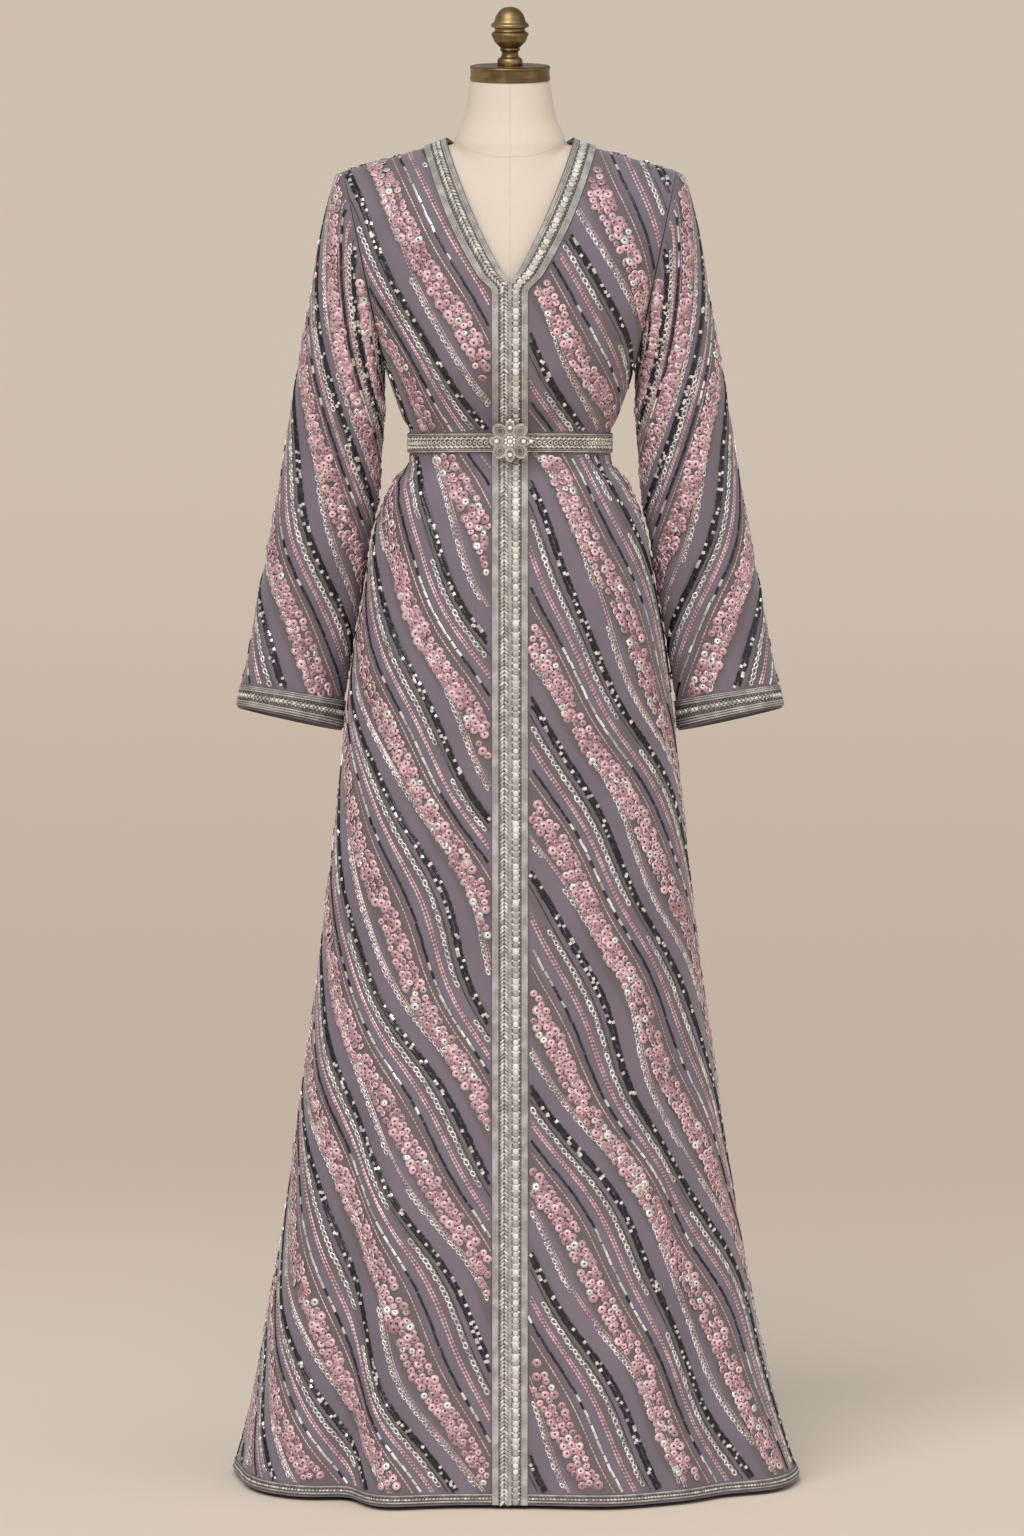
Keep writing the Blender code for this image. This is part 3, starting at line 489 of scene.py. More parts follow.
        def past(tilt: Array) -> Array:
            """How far the neckline lies behind the surface.

            Args:
                tilt: Tilt of each column.

            Returns:
                The distances, below zero inside the neckline.
            """
            _, last = self.armhole_reach(np.sin(tilt), depth)
            point = self.yoke(share * last, tilt, 1)
            inside = np.maximum(1.0 - (np.abs(point[..., 0]) / NECK_HALF_WIDTH) ** 2, 0.0)
            return NAPE_DEPTH * np.sqrt(inside) - (point[..., 1] - SIDE_Y)

        top = np.full(np.shape(share), QUARTER_TURN)
        found = rising_root(past, np.zeros(np.shape(share)), top)
        return np.where(past(top) <= 0.0, top, found)




@dataclass(frozen=True)
class SleeveShape:
    """The outer surface of a sleeve; hand is 1 for the wearer's left and -1 for the right."""

    hand: int
    armhole_gap: float = 0.0005
    cuff_back_drop: float = 0.17
    table: RowTable = RowTable(range(len(SLEEVE_ROWS)), SLEEVE_ROWS)

    def crease_depth(self, row: Array, angle: Array) -> Array:
        """How far the creases move the sleeve outwards.

        Args:
            row: Positions among the sections.
            angle: Angles round the sleeve.

        Returns:
            The distances, in metres.
        """
        degrees = np.degrees(angle) % 360.0
        moved = np.zeros(np.broadcast(row, angle).shape)
        for at_row, at_angle, along, around, depth in CREASES:
            off = (degrees - at_angle + 180.0) % 360.0 - 180.0
            moved += depth * np.exp(-(((row - at_row) / along) ** 2) - (off / around) ** 2)
        slant = np.sin(2.1 * row + 2.0 * angle) + 0.6 * np.sin(3.3 * row - 3.0 * angle + 1.0)
        return moved + 0.0007 * slant

    def points(self, angle: Array, row: Array) -> Array:
        """Points of the sleeve.

        Args:
            angle: 0 at the outer side and a quarter turn at the front.
            row: Position among the sections, from the armhole to the cuff.

        Returns:
            The points.
        """
        angle, row = np.broadcast_arrays(np.asarray(angle, float), np.asarray(row, float))
        size = self.table.read(row)
        middle_x, middle_z = 0.5 * (size[..., 0] + size[..., 2]), 0.5 * (size[..., 1] + size[..., 3])
        reach_x, reach_z = 0.5 * (size[..., 0] - size[..., 2]), 0.5 * (size[..., 1] - size[..., 3])
        length = np.hypot(reach_x, reach_z)
        fade = np.minimum(row, 1.0) * np.minimum((LAST_SLEEVE_ROW - row) / 1.5, 1.0)
        swell = 1.0 + fade * self.crease_depth(row, angle) / length
        x = middle_x + reach_x * swell * np.cos(angle)
        off_y = -swell * size[..., 4] * np.sin(angle)
        z = middle_z + reach_z * swell * np.cos(angle)
        z = z - self.cuff_back_drop * (row / LAST_SLEEVE_ROW) ** 2 * off_y
        gap = self.armhole_gap * np.clip(1.0 - row, 0.0, 1.0)
        x = x + gap * reach_z / length
        z = z - gap * reach_x / length
        return np.stack([self.hand * x, size[..., 5] + off_y, z], axis=-1)


@dataclass
class Panel:
    """A piece of cloth as a dense grid: rows run round it, columns up it.

    Lengthwise and crosswise are its own cloth coordinates in metres, and clear is how far each
    point lies from trims, belt and edges, below zero under them.
    """

    name: str
    points: Array
    normals: Array
    crosswise: Array
    lengthwise: Array
    clear: Array

    def sample(self, grid: Array, rows: Array, columns: Array) -> Array:
        """Values of a grid in between its rows and columns.

        Args:
            grid: One of this panel's grids.
            rows: Fractional rows.
            columns: Fractional columns.

        Returns:
            The values.
        """
        rows, columns = np.broadcast_arrays(rows, columns)
        low = np.clip(rows.astype(int), 0, grid.shape[0] - 2)
        left = np.clip(columns.astype(int), 0, grid.shape[1] - 2)
        up, side = rows - low, columns - left
        if grid.ndim == 3:
            up, side = up[..., None], side[..., None]
        near = grid[low, left] * (1 - side) + grid[low, left + 1] * side
        far = grid[low + 1, left] * (1 - side) + grid[low + 1, left + 1] * side
        return near * (1 - up) + far * up


def grid_normals(points: Array, centres: Array) -> Array:
    """Outward unit normals of a grid of points.

    Args:
        points: The grid.
        centres: A point inside the piece for each row.

    Returns:
        The normals.
    """
    rows = np.gradient(points, axis=0)
    columns = np.gradient(points, axis=1)
    normals = unit(np.cross(columns, rows))
    outward = np.sum(normals * (points - centres[:, None, :]), axis=-1)
    return normals if outward.mean() > 0.0 else -normals


def walked(points: Array, axis: int) -> Array:
    """Distance walked from the first point of each line of a grid.

    Args:
        points: The grid, or one line.
        axis: The axis along which it is walked.

    Returns:
        The distances, which start at zero.
    """
    steps = np.linalg.norm(np.diff(points, axis=axis), axis=-1)
    start = np.zeros_like(np.take(steps, [0], axis=axis))
    return np.concatenate([start, np.cumsum(steps, axis=axis)], axis=axis)


class PanelMaker:
    """Lays out the panels of the kaftan on its shapes."""

    skirt_rows = 300
    yoke_rows = 84
    columns = 96
    sleeve_rows = 190

    def __init__(self, body: BodyShape) -> None:
        """Keeps the body's shape.

        Args:
            body: The garment's shape.
        """
        self.body = body
        low = np.linspace(HEM_Z, 1.1, 220)
        high = np.linspace(1.1, ARMPIT_Z, self.skirt_rows - 219)[1:]
        self.heights = np.concatenate([low, high])
        self.tilts = QUARTER_TURN * (np.arange(1, self.yoke_rows + 1) / self.yoke_rows) ** 1.25

    def front_edge(self, hand: int) -> tuple[Array, Array, Array, Array]:
        """Start, trim edge, half width and last angle of every row of a front.

        Args:
            hand: 1 for the wearer's left and -1 for the right.

        Returns:
            The four values, each with one entry for every row.
        """
        sizes = self.body.sizes(self.heights)
        half = sizes[:, 1] if hand > 0 else sizes[:, 0]
        start = np.full(len(half), 0.5 * SEAM_GAP)
        yoke_half, yoke_last = self.body.armhole_reach(np.sin(self.tilts), self.body.top_depth(-1))
        yoke_start = self.body.neck_start(self.tilts)
        opened = np.clip(yoke_start / 0.01, 0.0, 1.0)
        width = FRONT_TRIM_WIDTH + (NECK_TRIM_WIDTH - FRONT_TRIM_WIDTH) * opened
        starts = np.concatenate([start, yoke_start])
        widths = np.concatenate([np.full(len(half), FRONT_TRIM_WIDTH), width])
        halves = np.concatenate([half, yoke_half])
        lasts = np.concatenate([np.full(len(half), QUARTER_TURN), yoke_last])
        return starts, widths, halves, lasts

    def front_points(self, hand: int, angles: Array) -> Array:
        """Points of a front at one row of angles for each row of the panel.

        Args:
            hand: 1 for the wearer's left and -1 for the right.
            angles: Section angles, by row and column.

        Returns:
            The grid of points.
        """
        count = len(self.heights)
        skirt = self.body.skirt(hand * angles[:count], self.heights[:, None])
        yoke = self.body.yoke(hand * angles[count:], self.tilts[:, None], -1)
        return np.concatenate([skirt, yoke])

    def front(self, hand: int) -> Panel:
        """The front panel of one side, from its closing edge to its side seam.

        Args:
            hand: 1 for the wearer's left and -1 for the right.

        Returns:
            The panel.
        """
        starts, widths, halves, lasts = self.front_edge(hand)
        edge = self.body.angle_at(starts, halves)
        share = np.linspace(0.0, 1.0, self.columns)
        angles = edge[:, None] + (lasts - edge)[:, None] * share
        points = self.front_points(hand, angles)
        centres = np.stack([0 * edge, 0 * edge, points[:, 0, 2]], axis=-1)
        around = walked(points, 1)
        up = walked(points, 0)
        crosswise = hand * (starts[:, None] + around)
        trim = np.abs(points[..., 0]) - (starts + widths)[:, None]
        clear = np.minimum(trim, around[:, -1:] - around)
        clear = np.minimum(clear, self.height_room(points))
        clear = np.minimum(clear, up[-1:] - up)
        normals = grid_normals(points, centres)
        name = "front_left" if hand > 0 else "front_right"
        return Panel(name, points, normals, crosswise, points[..., 2], clear)

    def height_room(self, points: Array) -> Array:
        """How far points are from the hem braid and from the belt.

        Args:
            points: Points of a panel.

        Returns:
            The distances, below zero under them.
        """
        z = points[..., 2]
        hem = z - (HEM_Z + HEM_TRIM_START + HEM_TRIM_HEIGHT)
        ahead = np.clip((SIDE_Y - points[..., 1]) / BELT_FRONT_DEPTH, 0.0, 1.0) ** (SECTION_POWER / 2.0)
        middle = WAIST_Z + BELT_FRONT_RISE * ahead
        return np.minimum(hem, np.abs(z - middle) - 0.5 * BELT_HEIGHT)

    def back(self) -> Panel:
        """The back panel, from the wearer's right seam to the left one.

        Returns:
            The panel.
        """
        shares = np.linspace(-1.0, 1.0, 2 * self.columns - 1)
        angle = shares * QUARTER_TURN
        turned = np.where(angle >= 0.0, math.pi - angle, -math.pi - angle)
        skirt = self.body.skirt(turned[None, :], self.heights[:, None])
        tops = self.body.nape_tilt(shares)
        tilts = self.tilts[:, None] * tops / QUARTER_TURN
        _, last = self.body.armhole_reach(np.sin(tilts), self.body.top_depth(1))
        yoke = self.body.yoke(shares * last, tilts, 1)
        points = np.concatenate([skirt, yoke])
        centres = np.stack([0 * points[:, 0, 2], 0 * points[:, 0, 2], points[:, 0, 2]], axis=-1)
        around = walked(points, 1)
        middle = around[:, self.columns - 1 : self.columns]
        up = walked(points, 0)
        room = up[-1:] - up
        under_trim = np.where(np.abs(points[-1, :, 0]) < NECK_HALF_WIDTH + 0.022, 0.0245, 0.0)
        clear = np.minimum(around, around[:, -1:] - around)
        clear = np.minimum(clear, self.height_room(points))
        clear = np.minimum(clear, room - under_trim[None, :])
        normals = grid_normals(points, centres)
        return Panel("back", points, normals, middle - around, points[..., 2], clear)

    def sleeve(self, hand: int) -> Panel:
        """A sleeve, slit along its underarm seam.

        Args:
            hand: 1 for the wearer's left and -1 for the right.

        Returns:
            The panel.
        """
        shape = SleeveShape(hand)
        angles = np.linspace(-math.pi, math.pi, 2 * self.columns - 1)
        rows = LAST_SLEEVE_ROW * np.linspace(0.0, 1.0, self.sleeve_rows) ** 0.9
        points = shape.points(angles[None, :], rows[:, None])
        around = walked(points, 1)
        middle = around[:, self.columns - 1 : self.columns]
        down = walked(points.mean(axis=1, keepdims=True), 0)
        lengthwise = down[-1:] - down + 0.0 * around
        cuff = np.interp(CUFF_START_ROW, rows, down[:, 0])
        clear = np.minimum(around, around[:, -1:] - around)
        clear = np.minimum(clear, np.minimum(down - 0.001, cuff - down))
        normals = grid_normals(points, points.mean(axis=1))
        name = "sleeve_left" if hand > 0 else "sleeve_right"
        return Panel(name, points, normals, around - middle, lengthwise, clear)


@dataclass
class Run:
    """A line on the cloth along which beads or cords are laid."""

    points: Array
    normals: Array

    def __post_init__(self) -> None:
        """Measures the line."""
        self.walked = walked(self.points, 0)

    @property
    def length(self) -> float:
        """Length of the line."""
        return float(self.walked[-1])

    def stations(self, pitch: float, start: float = 0.0) -> Array:
        """Distances along the line, one pitch apart."""
        return np.arange(start, self.length, pitch)

    def at(self, distance: Array, aside: Array | float = 0.0,
           lift: Array | float = 0.0) -> tuple[Array, list[Array]]:
        """Places on the line.

        Args:
            distance: Distances along it.
            aside: How far to the side, to the right of the way it runs.
            lift: How far above the cloth.

        Returns:
            The points, and the aside, along and up axes at each of them.
        """
        normal = unit(self.blend(self.normals, distance))
        step = 0.0008
        ahead = self.blend(self.points, np.minimum(distance + step, self.length))
        behind = self.blend(self.points, np.maximum(distance - step, 0.0))
        along = unit(ahead - behind)
        side = unit(np.cross(along, normal))
        up = unit(np.cross(side, along))
        centre = self.blend(self.points, distance)
        moved = centre + side * np.reshape(aside, (-1, 1)) + up * np.reshape(lift, (-1, 1))
        return moved, [side, along, up]

    def blend(self, values: Array, distance: Array) -> Array:
        """Values in between the line's points."""
        return np.stack([np.interp(distance, self.walked, values[:, k]) for k in range(3)], -1)


def about_up(axes: Sequence[Array], turn: Array) -> list[Array]:
    """Axes turned about up.

    Args:
        axes: Aside, along and up.
        turn: The angle of each.

    Returns:
        The turned axes.
    """
    side, along, up = axes
    sine, cosine = np.sin(turn)[:, None], np.cos(turn)[:, None]
    return [side * cosine + along * sine, along * cosine - side * sine, up]


class Mark(Enum):
    """What is sewn along a lane."""

    PAILLETTE = "paillette"
    BUGLE = "bugle"
    LOOP = "loop"
    CUT_BEAD = "cut bead"
    CORD = "cord"


class Slot(Enum):
    """The record's material slots."""

    CLOTH = "cloth"
    PINK = "pink_paillettes"
    JET = "jet_beads"
    SILVER = "silver_beads"
    COPPER = "copper_thread"
    BRAID = "braid"
    BELT = "belt_metal"
    FORM = "form_cover"
    BRASS = "brass"


@dataclass(frozen=True)
class Lane:
    """One line of the repeat: where it lies, what is sewn on it and how large that is."""

    offset: float
    mark: Mark
    slot: Slot
    pitch: float
    width: float
    length: float
    height: float
    wander: float = 0.0
    start: float = 0.0


LANES = (
    Lane(-0.0078, Mark.PAILLETTE, Slot.PINK, 0.008, 0.0049, 0.0049, 0.003, 0.0019, 0.0),
    Lane(0.0, Mark.PAILLETTE, Slot.PINK, 0.0078, 0.0049, 0.0049, 0.0034, 0.0022, 0.0038),
    Lane(0.0078, Mark.PAILLETTE, Slot.PINK, 0.0081, 0.0049, 0.0049, 0.003, 0.0019, 0.001),
    Lane(0.018, Mark.CORD, Slot.COPPER, 0.008, 0.0008, 0.002, 0.0007, 0.0003),
    Lane(0.0262, Mark.BUGLE, Slot.JET, 0.0094, 0.0016, 0.0043, 0.0015, 0.0004),
    Lane(0.0368, Mark.CORD, Slot.COPPER, 0.008, 0.0013, 0.0032, 0.0011, 0.0003),
    Lane(0.0396, Mark.CORD, Slot.COPPER, 0.008, 0.0011, 0.0027, 0.001, 0.0003),
    Lane(0.0487, Mark.LOOP, Slot.SILVER, 0.007, 0.003, 0.0044, 0.0013, 0.0007),
    Lane(0.053, Mark.CORD, Slot.JET, 0.008, 0.0008, 0.0022, 0.0008, 0.0003),
    Lane(0.0598, Mark.CUT_BEAD, Slot.JET, 0.0034, 0.0019, 0.0016, 0.0016, 0.0005),
    Lane(0.0637, Mark.CUT_BEAD, Slot.JET, 0.0034, 0.0019, 0.0016, 0.0016, 0.0005, 0.0017),
    Lane(0.085, Mark.LOOP, Slot.SILVER, 0.0074, 0.0023, 0.0043, 0.0012, 0.0006),
    Lane(0.0882, Mark.CORD, Slot.COPPER, 0.008, 0.0012, 0.003, 0.0011, 0.0003),
    Lane(0.0908, Mark.CORD, Slot.SILVER, 0.008, 0.0007, 0.003, 0.0008, 0.0003),
)


@dataclass(frozen=True)
class StripePattern:
    """Slanting bands that sway a little, by cloth coordinates."""

    period: float = 0.103
    slant: float = math.radians(60.0)
    phase: float = 0.1013
    waves: tuple = ((0.0066, 0.43, 0.3, 0.4), (0.0026, 0.21, -0.45, 2.0))

    def value(self, crosswise: Array, lengthwise: Array) -> Array:
        """How far points lie across the bands, in metres.

        Args:
            crosswise: Cloth coordinates across the panel.
            lengthwise: Cloth coordinates up it.

        Returns:
            The distances.
        """
        found = crosswise * math.sin(self.slant) + lengthwise * math.cos(self.slant) - self.phase
        for amplitude, length, lean, start in self.waves:
            turn = FULL_TURN * (lengthwise + lean * crosswise) / length + start
            found = found + amplitude * np.sin(turn)
        return found

    def spread(self, lengthwise: Array, band: Array) -> Array:
        """How wide each band is here, as a share of its usual width."""
        return 1.0 + 0.13 * np.sin(FULL_TURN * lengthwise / 0.37 + 1.9 * band)

    def runs(self, panel: Panel, lane: Lane, margin: float) -> Iterator[Run]:
        """The stretches of a lane on a panel that lie clear of its edges.

        Args:
            panel: The cloth.
            lane: The line of the repeat.
            margin: How far from trims and edges it stops.

        Yields:
            Each stretch that is long enough to sew on.
        """
        field_value = self.value(panel.crosswise, panel.lengthwise)
        first = math.floor(field_value.min() / self.period) - 1
        last = math.ceil(field_value.max() / self.period) + 1
        bands = np.arange(first, last)
        columns = np.arange(field_value.shape[1], dtype=float)
        falling = field_value[0, -1] < field_value[0, 0]
        found = np.full((len(field_value), len(bands)), np.nan)
        for i, row in enumerate(field_value):
            centre = bands * self.period
            wanted = centre + lane.offset * self.spread(panel.lengthwise[i].mean(), bands)
            values, places = (row[::-1], columns[::-1]) if falling else (row, columns)
            found[i] = np.interp(wanted, values, places, left=np.nan, right=np.nan)
        rows = np.arange(len(field_value), dtype=float)
        for k in range(len(bands)):
            on = ~np.isnan(found[:, k])
            room = np.full(len(rows), -1.0)
            room[on] = panel.sample(panel.clear, rows[on], found[on, k])
            for block in self.blocks(room > margin):
                points = panel.sample(panel.points, rows[block], found[block, k])
                normals = panel.sample(panel.normals, rows[block], found[block, k])
                run = Run(points, unit(normals))
                if run.length > 2.0 * lane.pitch:
                    yield run

    def blocks(self, wanted: Array) -> list[Array]:
        """Index blocks of at least four neighbours that are all wanted.

        Args:
            wanted: Whether each row is wanted.

        Returns:
            The blocks.
        """
        indices = np.flatnonzero(wanted)
        parts = np.split(indices, np.flatnonzero(np.diff(indices) > 1) + 1)
        return [part for part in parts if len(part) > 3]




class Signal:
    """A shader socket that takes part in Python arithmetic."""

    def __init__(self, recipe: "Recipe", socket: bpy.types.NodeSocket) -> None:
        """Keeps the socket and the recipe that it belongs to."""
        self.recipe = recipe
        self.socket = socket

    def math(self, operation: str, other: "Signal | float" = 0.0, swap: bool = False) -> "Signal":
        """One Math node.

        Args:
            operation: The node's operation.
            other: The second value.
            swap: Whether the second value comes first.

        Returns:
            The result.
        """
        pair = (other, self) if swap else (self, other)
        made = self.recipe.node("ShaderNodeMath", {"operation": operation}, {0: pair[0], 1: pair[1]})
        return Signal(self.recipe, made.outputs[0])

    def __add__(self, other: "Signal | float") -> "Signal":
        """The sum."""
        return self.math("ADD", other)

    def __sub__(self, other: "Signal | float") -> "Signal":
        """The difference."""
        return self.math("SUBTRACT", other)

    def __rsub__(self, other: float) -> "Signal":
        """The difference from a number."""
        return self.math("SUBTRACT", other, swap=True)

    def __mul__(self, other: "Signal | float") -> "Signal":
        """The product."""
        return self.math("MULTIPLY", other)

    __radd__ = __add__
    __rmul__ = __mul__

    def fraction(self) -> "Signal":
        """The part after the point."""
        return self.math("FRACT")

    def wave(self) -> "Signal":
        """A sine of whole turns, from 0 to 1."""
        return (self * FULL_TURN).math("SINE") * 0.5 + 0.5

    def ramp(self, low: float, high: float) -> "Signal":
        """A smooth rise from 0 to 1 between two values.

        Args:
            low: Where it leaves 0.
            high: Where it reaches 1.

        Returns:
            The rise.
        """
        settings = {"interpolation_type": "SMOOTHSTEP"}
        inputs = {"Value": self, "From Min": low, "From Max": high}
        return Signal(self.recipe, self.recipe.node("ShaderNodeMapRange", settings, inputs).outputs[0])


class Recipe:
    """One material's node tree, built by short calls."""

    def __init__(self, name: str) -> None:
        """Starts an empty tree.

        Args:
            name: The material's name.
        """
        self.material = bpy.data.materials.new(name)
        self.material.use_nodes = True
        self.tree = self.material.node_tree
        self.tree.nodes.clear()

    def node(self, kind: str, settings: dict | None = None, inputs: dict | None = None) -> bpy.types.Node:
        """Adds a node.

        Args:
            kind: The node's type.
            settings: Its own settings, set first.
            inputs: Values or signals for its sockets.

        Returns:
            The node.
        """
        made = self.tree.nodes.new(kind)
        for key, value in (settings or {}).items():
            setattr(made, key, value)
        for key, value in (inputs or {}).items():
            if isinstance(value, Signal):
                self.tree.links.new(value.socket, made.inputs[key])
            else:
                made.inputs[key].default_value = value
        return made

    def place(self) -> Signal:
        """Object coordinates."""
        return Signal(self, self.node("ShaderNodeTexCoord").outputs["Object"])

    def attribute(self, name: str) -> Signal:
        """A number that the mesh holds for each point."""
        return Signal(self, self.node("ShaderNodeAttribute", {"attribute_name": name}).outputs["Fac"])

    def local(self, name: str) -> Signal:
        """A vector that the mesh holds for each point."""
        made = self.node("ShaderNodeAttribute", {"attribute_name": name})
        return Signal(self, made.outputs["Vector"])

    def parts(self, vector: Signal) -> tuple[Signal, Signal, Signal]:
        """The three parts of a vector."""
        made = self.node("ShaderNodeSeparateXYZ", None, {0: vector})
        return tuple(Signal(self, socket) for socket in made.outputs)

    def scaled(self, vector: Signal, by: tuple[float, float, float]) -> Signal:
        """A vector with each part multiplied."""
        made = self.node("ShaderNodeVectorMath", {"operation": "MULTIPLY"}, {0: vector, 1: by})
        return Signal(self, made.outputs[0])

    def length(self, vector: Signal) -> Signal:
        """The length of a vector."""
        made = self.node("ShaderNodeVectorMath", {"operation": "LENGTH"}, {0: vector})
        return Signal(self, made.outputs["Value"])

    def noise(self, vector: Signal, scale: float, detail: float = 2.0) -> Signal:
        """Soft noise from 0 to 1."""
        inputs = {"Vector": vector, "Scale": scale, "Detail": detail}
        return Signal(self, self.node("ShaderNodeTexNoise", None, inputs).outputs[0])

    def mix(self, share: Signal | float, low: Signal | Colour, high: Signal | Colour) -> Signal:
        """A colour between two colours."""
        inputs = {0: share, 6: low, 7: high}
        return Signal(self, self.node("ShaderNodeMix", {"data_type": "RGBA"}, inputs).outputs[2])

    def bump(self, height: Signal, distance: float, strength: float = 1.0) -> Signal:
        """A bumped normal."""
        inputs = {"Height": height, "Distance": distance, "Strength": strength}
        return Signal(self, self.node("ShaderNodeBump", None, inputs).outputs[0])

    def finish(self, **inputs: Signal | float | Colour) -> Material:
        """Ends the tree in a Principled shader.

        Args:
            inputs: The shader's sockets, with underscores for spaces.

        Returns:
            The material.
        """
        named = {key.replace("_", " "): value for key, value in inputs.items()}
        shader = self.node("ShaderNodeBsdfPrincipled", None, named)
        self.node("ShaderNodeOutputMaterial", None, {0: Signal(self, shader.outputs[0])})
        return self.material


@dataclass(frozen=True)
class ClothFinish:
    """Fine mauve-grey cloth, browner beside the lines of beads."""

    mauve: Colour = (0.186, 0.153, 0.196, 1.0)
    brown: Colour = (0.145, 0.124, 0.128, 1.0)

    def material(self, name: str) -> Material:
        """The cloth's material, which reads the pattern from its UV map.

        Args:
            name: Its name.

        Returns:
            The material.
        """
        recipe = Recipe(name)
        uv = Signal(recipe, recipe.node("ShaderNodeUVMap", {"uv_map": "Pattern"}).outputs[0])
        across, along, _ = recipe.parts(uv)
        place = recipe.place()
        mottle = recipe.noise(place, 9.0)
        band = (across + (mottle - 0.5) * 0.1).fraction()
        near_pink = 1.0 - band.ramp(0.2, 0.26) * (1.0 - band.ramp(0.8, 0.86))
        beside_jet = band.ramp(0.42, 0.46) * (1.0 - band.ramp(0.56, 0.6))
        brownness = near_pink.math("MAXIMUM", beside_jet * 0.8)
        ground = recipe.mix(brownness, self.mauve, self.brown)
        shaded = recipe.mix(mottle.ramp(0.3, 0.8) * 0.35, ground, (0.1, 0.085, 0.105, 1.0))
        yarns = (along * 900.0).wave() * (across * 93.0).wave()
        slub = recipe.noise(recipe.scaled(place, (1.0, 1.0, 0.3)), 420.0)
        height = yarns * 0.5 + slub * 0.5
        return recipe.finish(
            Base_Color=shaded,
            Roughness=0.62 + slub * 0.18,
            Normal=recipe.bump(height, 0.00012, 0.45),
            Sheen_Weight=0.35,
            Sheen_Roughness=0.45,
            Specular_IOR_Level=0.35,
        )


@dataclass(frozen=True)
class BeadFinish:
    """Beads of one kind, each with its own tone between a dark and a light one; discs can also take a painted
    highlight on the rim and painted shade round the hole.
    """

    dark: Colour
    light: Colour
    roughness: float
    metallic: float = 0.0
    coat: float = 0.0
    # Painted highlight for the rim of each disc and painted shade round its hole.
    painted_rim_highlight: Colour | None = None
    painted_hole_shade: Colour | None = None
    specular: float = 0.6

    def material(self, name: str) -> Material:
        """The beads' material, which reads tone and local coordinates.

        Args:
            name: Its name.

        Returns:
            The material.
        """
        recipe = Recipe(name)
        tone = recipe.attribute("tone")
        colour = recipe.mix(tone, self.dark, self.light)
        # Painted highlight towards the outer rim of each disc and painted shade round its hole, set by the
        # distance from its middle.
        if self.painted_rim_highlight is not None:
            radius = recipe.length(recipe.scaled(recipe.local("local"), (1.0, 1.0, 0.0)))
            colour = recipe.mix(radius.ramp(0.7, 0.98) * 0.75, colour, self.painted_rim_highlight)
            colour = recipe.mix((1.0 - radius.ramp(0.22, 0.32)) * 0.8, colour, self.painted_hole_shade)
        grain = recipe.noise(recipe.place(), 260.0)
        return recipe.finish(
            Base_Color=colour,
            Roughness=self.roughness + grain * 0.16 - tone * 0.08,
            Metallic=self.metallic,
            Coat_Weight=self.coat,
            Coat_Roughness=0.12,
            Specular_IOR_Level=self.specular,
        )


@dataclass(frozen=True)
class CordFinish:
    """A thread, a row of tiny beads or a twisted cord, banded along its length: the bands follow its bumps, a
    painted highlight on each raised part and painted shade between them, mixed with random blotches of its
    own tone.
    """

    dark: Colour
    light: Colour
    pitch: float
    roughness: float
    metallic: float = 0.0
    lean: float = 0.0
    depth: float = 0.0003

    def material(self, name: str) -> Material:
        """The cord's material, which reads the distance along it and the place round it.

        Args:
            name: Its name.

        Returns:
            The material.
        """
        recipe = Recipe(name)
        run = recipe.attribute("run") * (1.0 / self.pitch)
        turned = run + recipe.attribute("side") * self.lean
        # Painted light: the colour follows the same wave as the bump, a painted highlight on each raised bead
        # or twist and painted shade in the hollows between; the blotches are random tone.
        band = turned.wave()
        blotch = recipe.noise(recipe.place(), 75.0)
        share = band * 0.65 + blotch.ramp(0.35, 0.7) * 0.45 - 0.05
        return recipe.finish(
            Base_Color=recipe.mix(share, self.dark, self.light),
            Roughness=self.roughness,
            Metallic=self.metallic,
            Normal=recipe.bump(band, self.depth, 0.9),
        )


@dataclass(frozen=True)
class WovenFinish:
    """A plain woven or covered surface with a fine grain."""

    base: Colour
    shade: Colour
    roughness: float
    grain: float
    depth: float
    metallic: float = 0.0
    sheen: float = 0.0

    def material(self, name: str) -> Material:
        """The material, on object coordinates.

        Args:
            name: Its name.

        Returns:
            The material.
        """
        recipe = Recipe(name)
        place = recipe.place()
        warp = recipe.noise(recipe.scaled(place, (1.0, 1.0, 0.12)), self.grain)
        weft = recipe.noise(recipe.scaled(place, (0.12, 0.12, 1.0)), self.grain)
        weave = warp * 0.5 + weft * 0.5
        mottle = recipe.noise(place, 7.0, 3.0)
        share = weave.ramp(0.35, 0.65) * 0.3 + mottle.ramp(0.3, 0.75) * 0.25
        colour = recipe.mix(share, self.base, self.shade)
        return recipe.finish(
            Base_Color=colour,
            Roughness=self.roughness,
            Metallic=self.metallic,
            Normal=recipe.bump(weave, self.depth, 0.6),
            Sheen_Weight=self.sheen,
        )


@dataclass(frozen=True)
class MetalFinish:
    """Cast or turned metal, darker where it is tarnished."""

    bright: Colour
    tarnish: Colour
    roughness: float
    metallic: float = 1.0
    brushed: float = 420.0
    patches: float = 38.0

    def material(self, name: str) -> Material:
        """The material, on object coordinates.

        Args:
            name: Its name.

        Returns:
            The material.
        """
        recipe = Recipe(name)
        place = recipe.place()
        rings = recipe.noise(recipe.scaled(place, (0.04, 0.04, 1.0)), self.brushed)
        patch = recipe.noise(place, self.patches, 4.0)
        worn = patch.ramp(0.38, 0.68)
        return recipe.finish(
            Base_Color=recipe.mix(worn, self.tarnish, self.bright),
            Roughness=self.roughness + patch * 0.16 + rings * 0.06,
            Metallic=self.metallic,
            Normal=recipe.bump(rings * 0.6 + patch * 0.4, 0.00008, 0.5),
        )


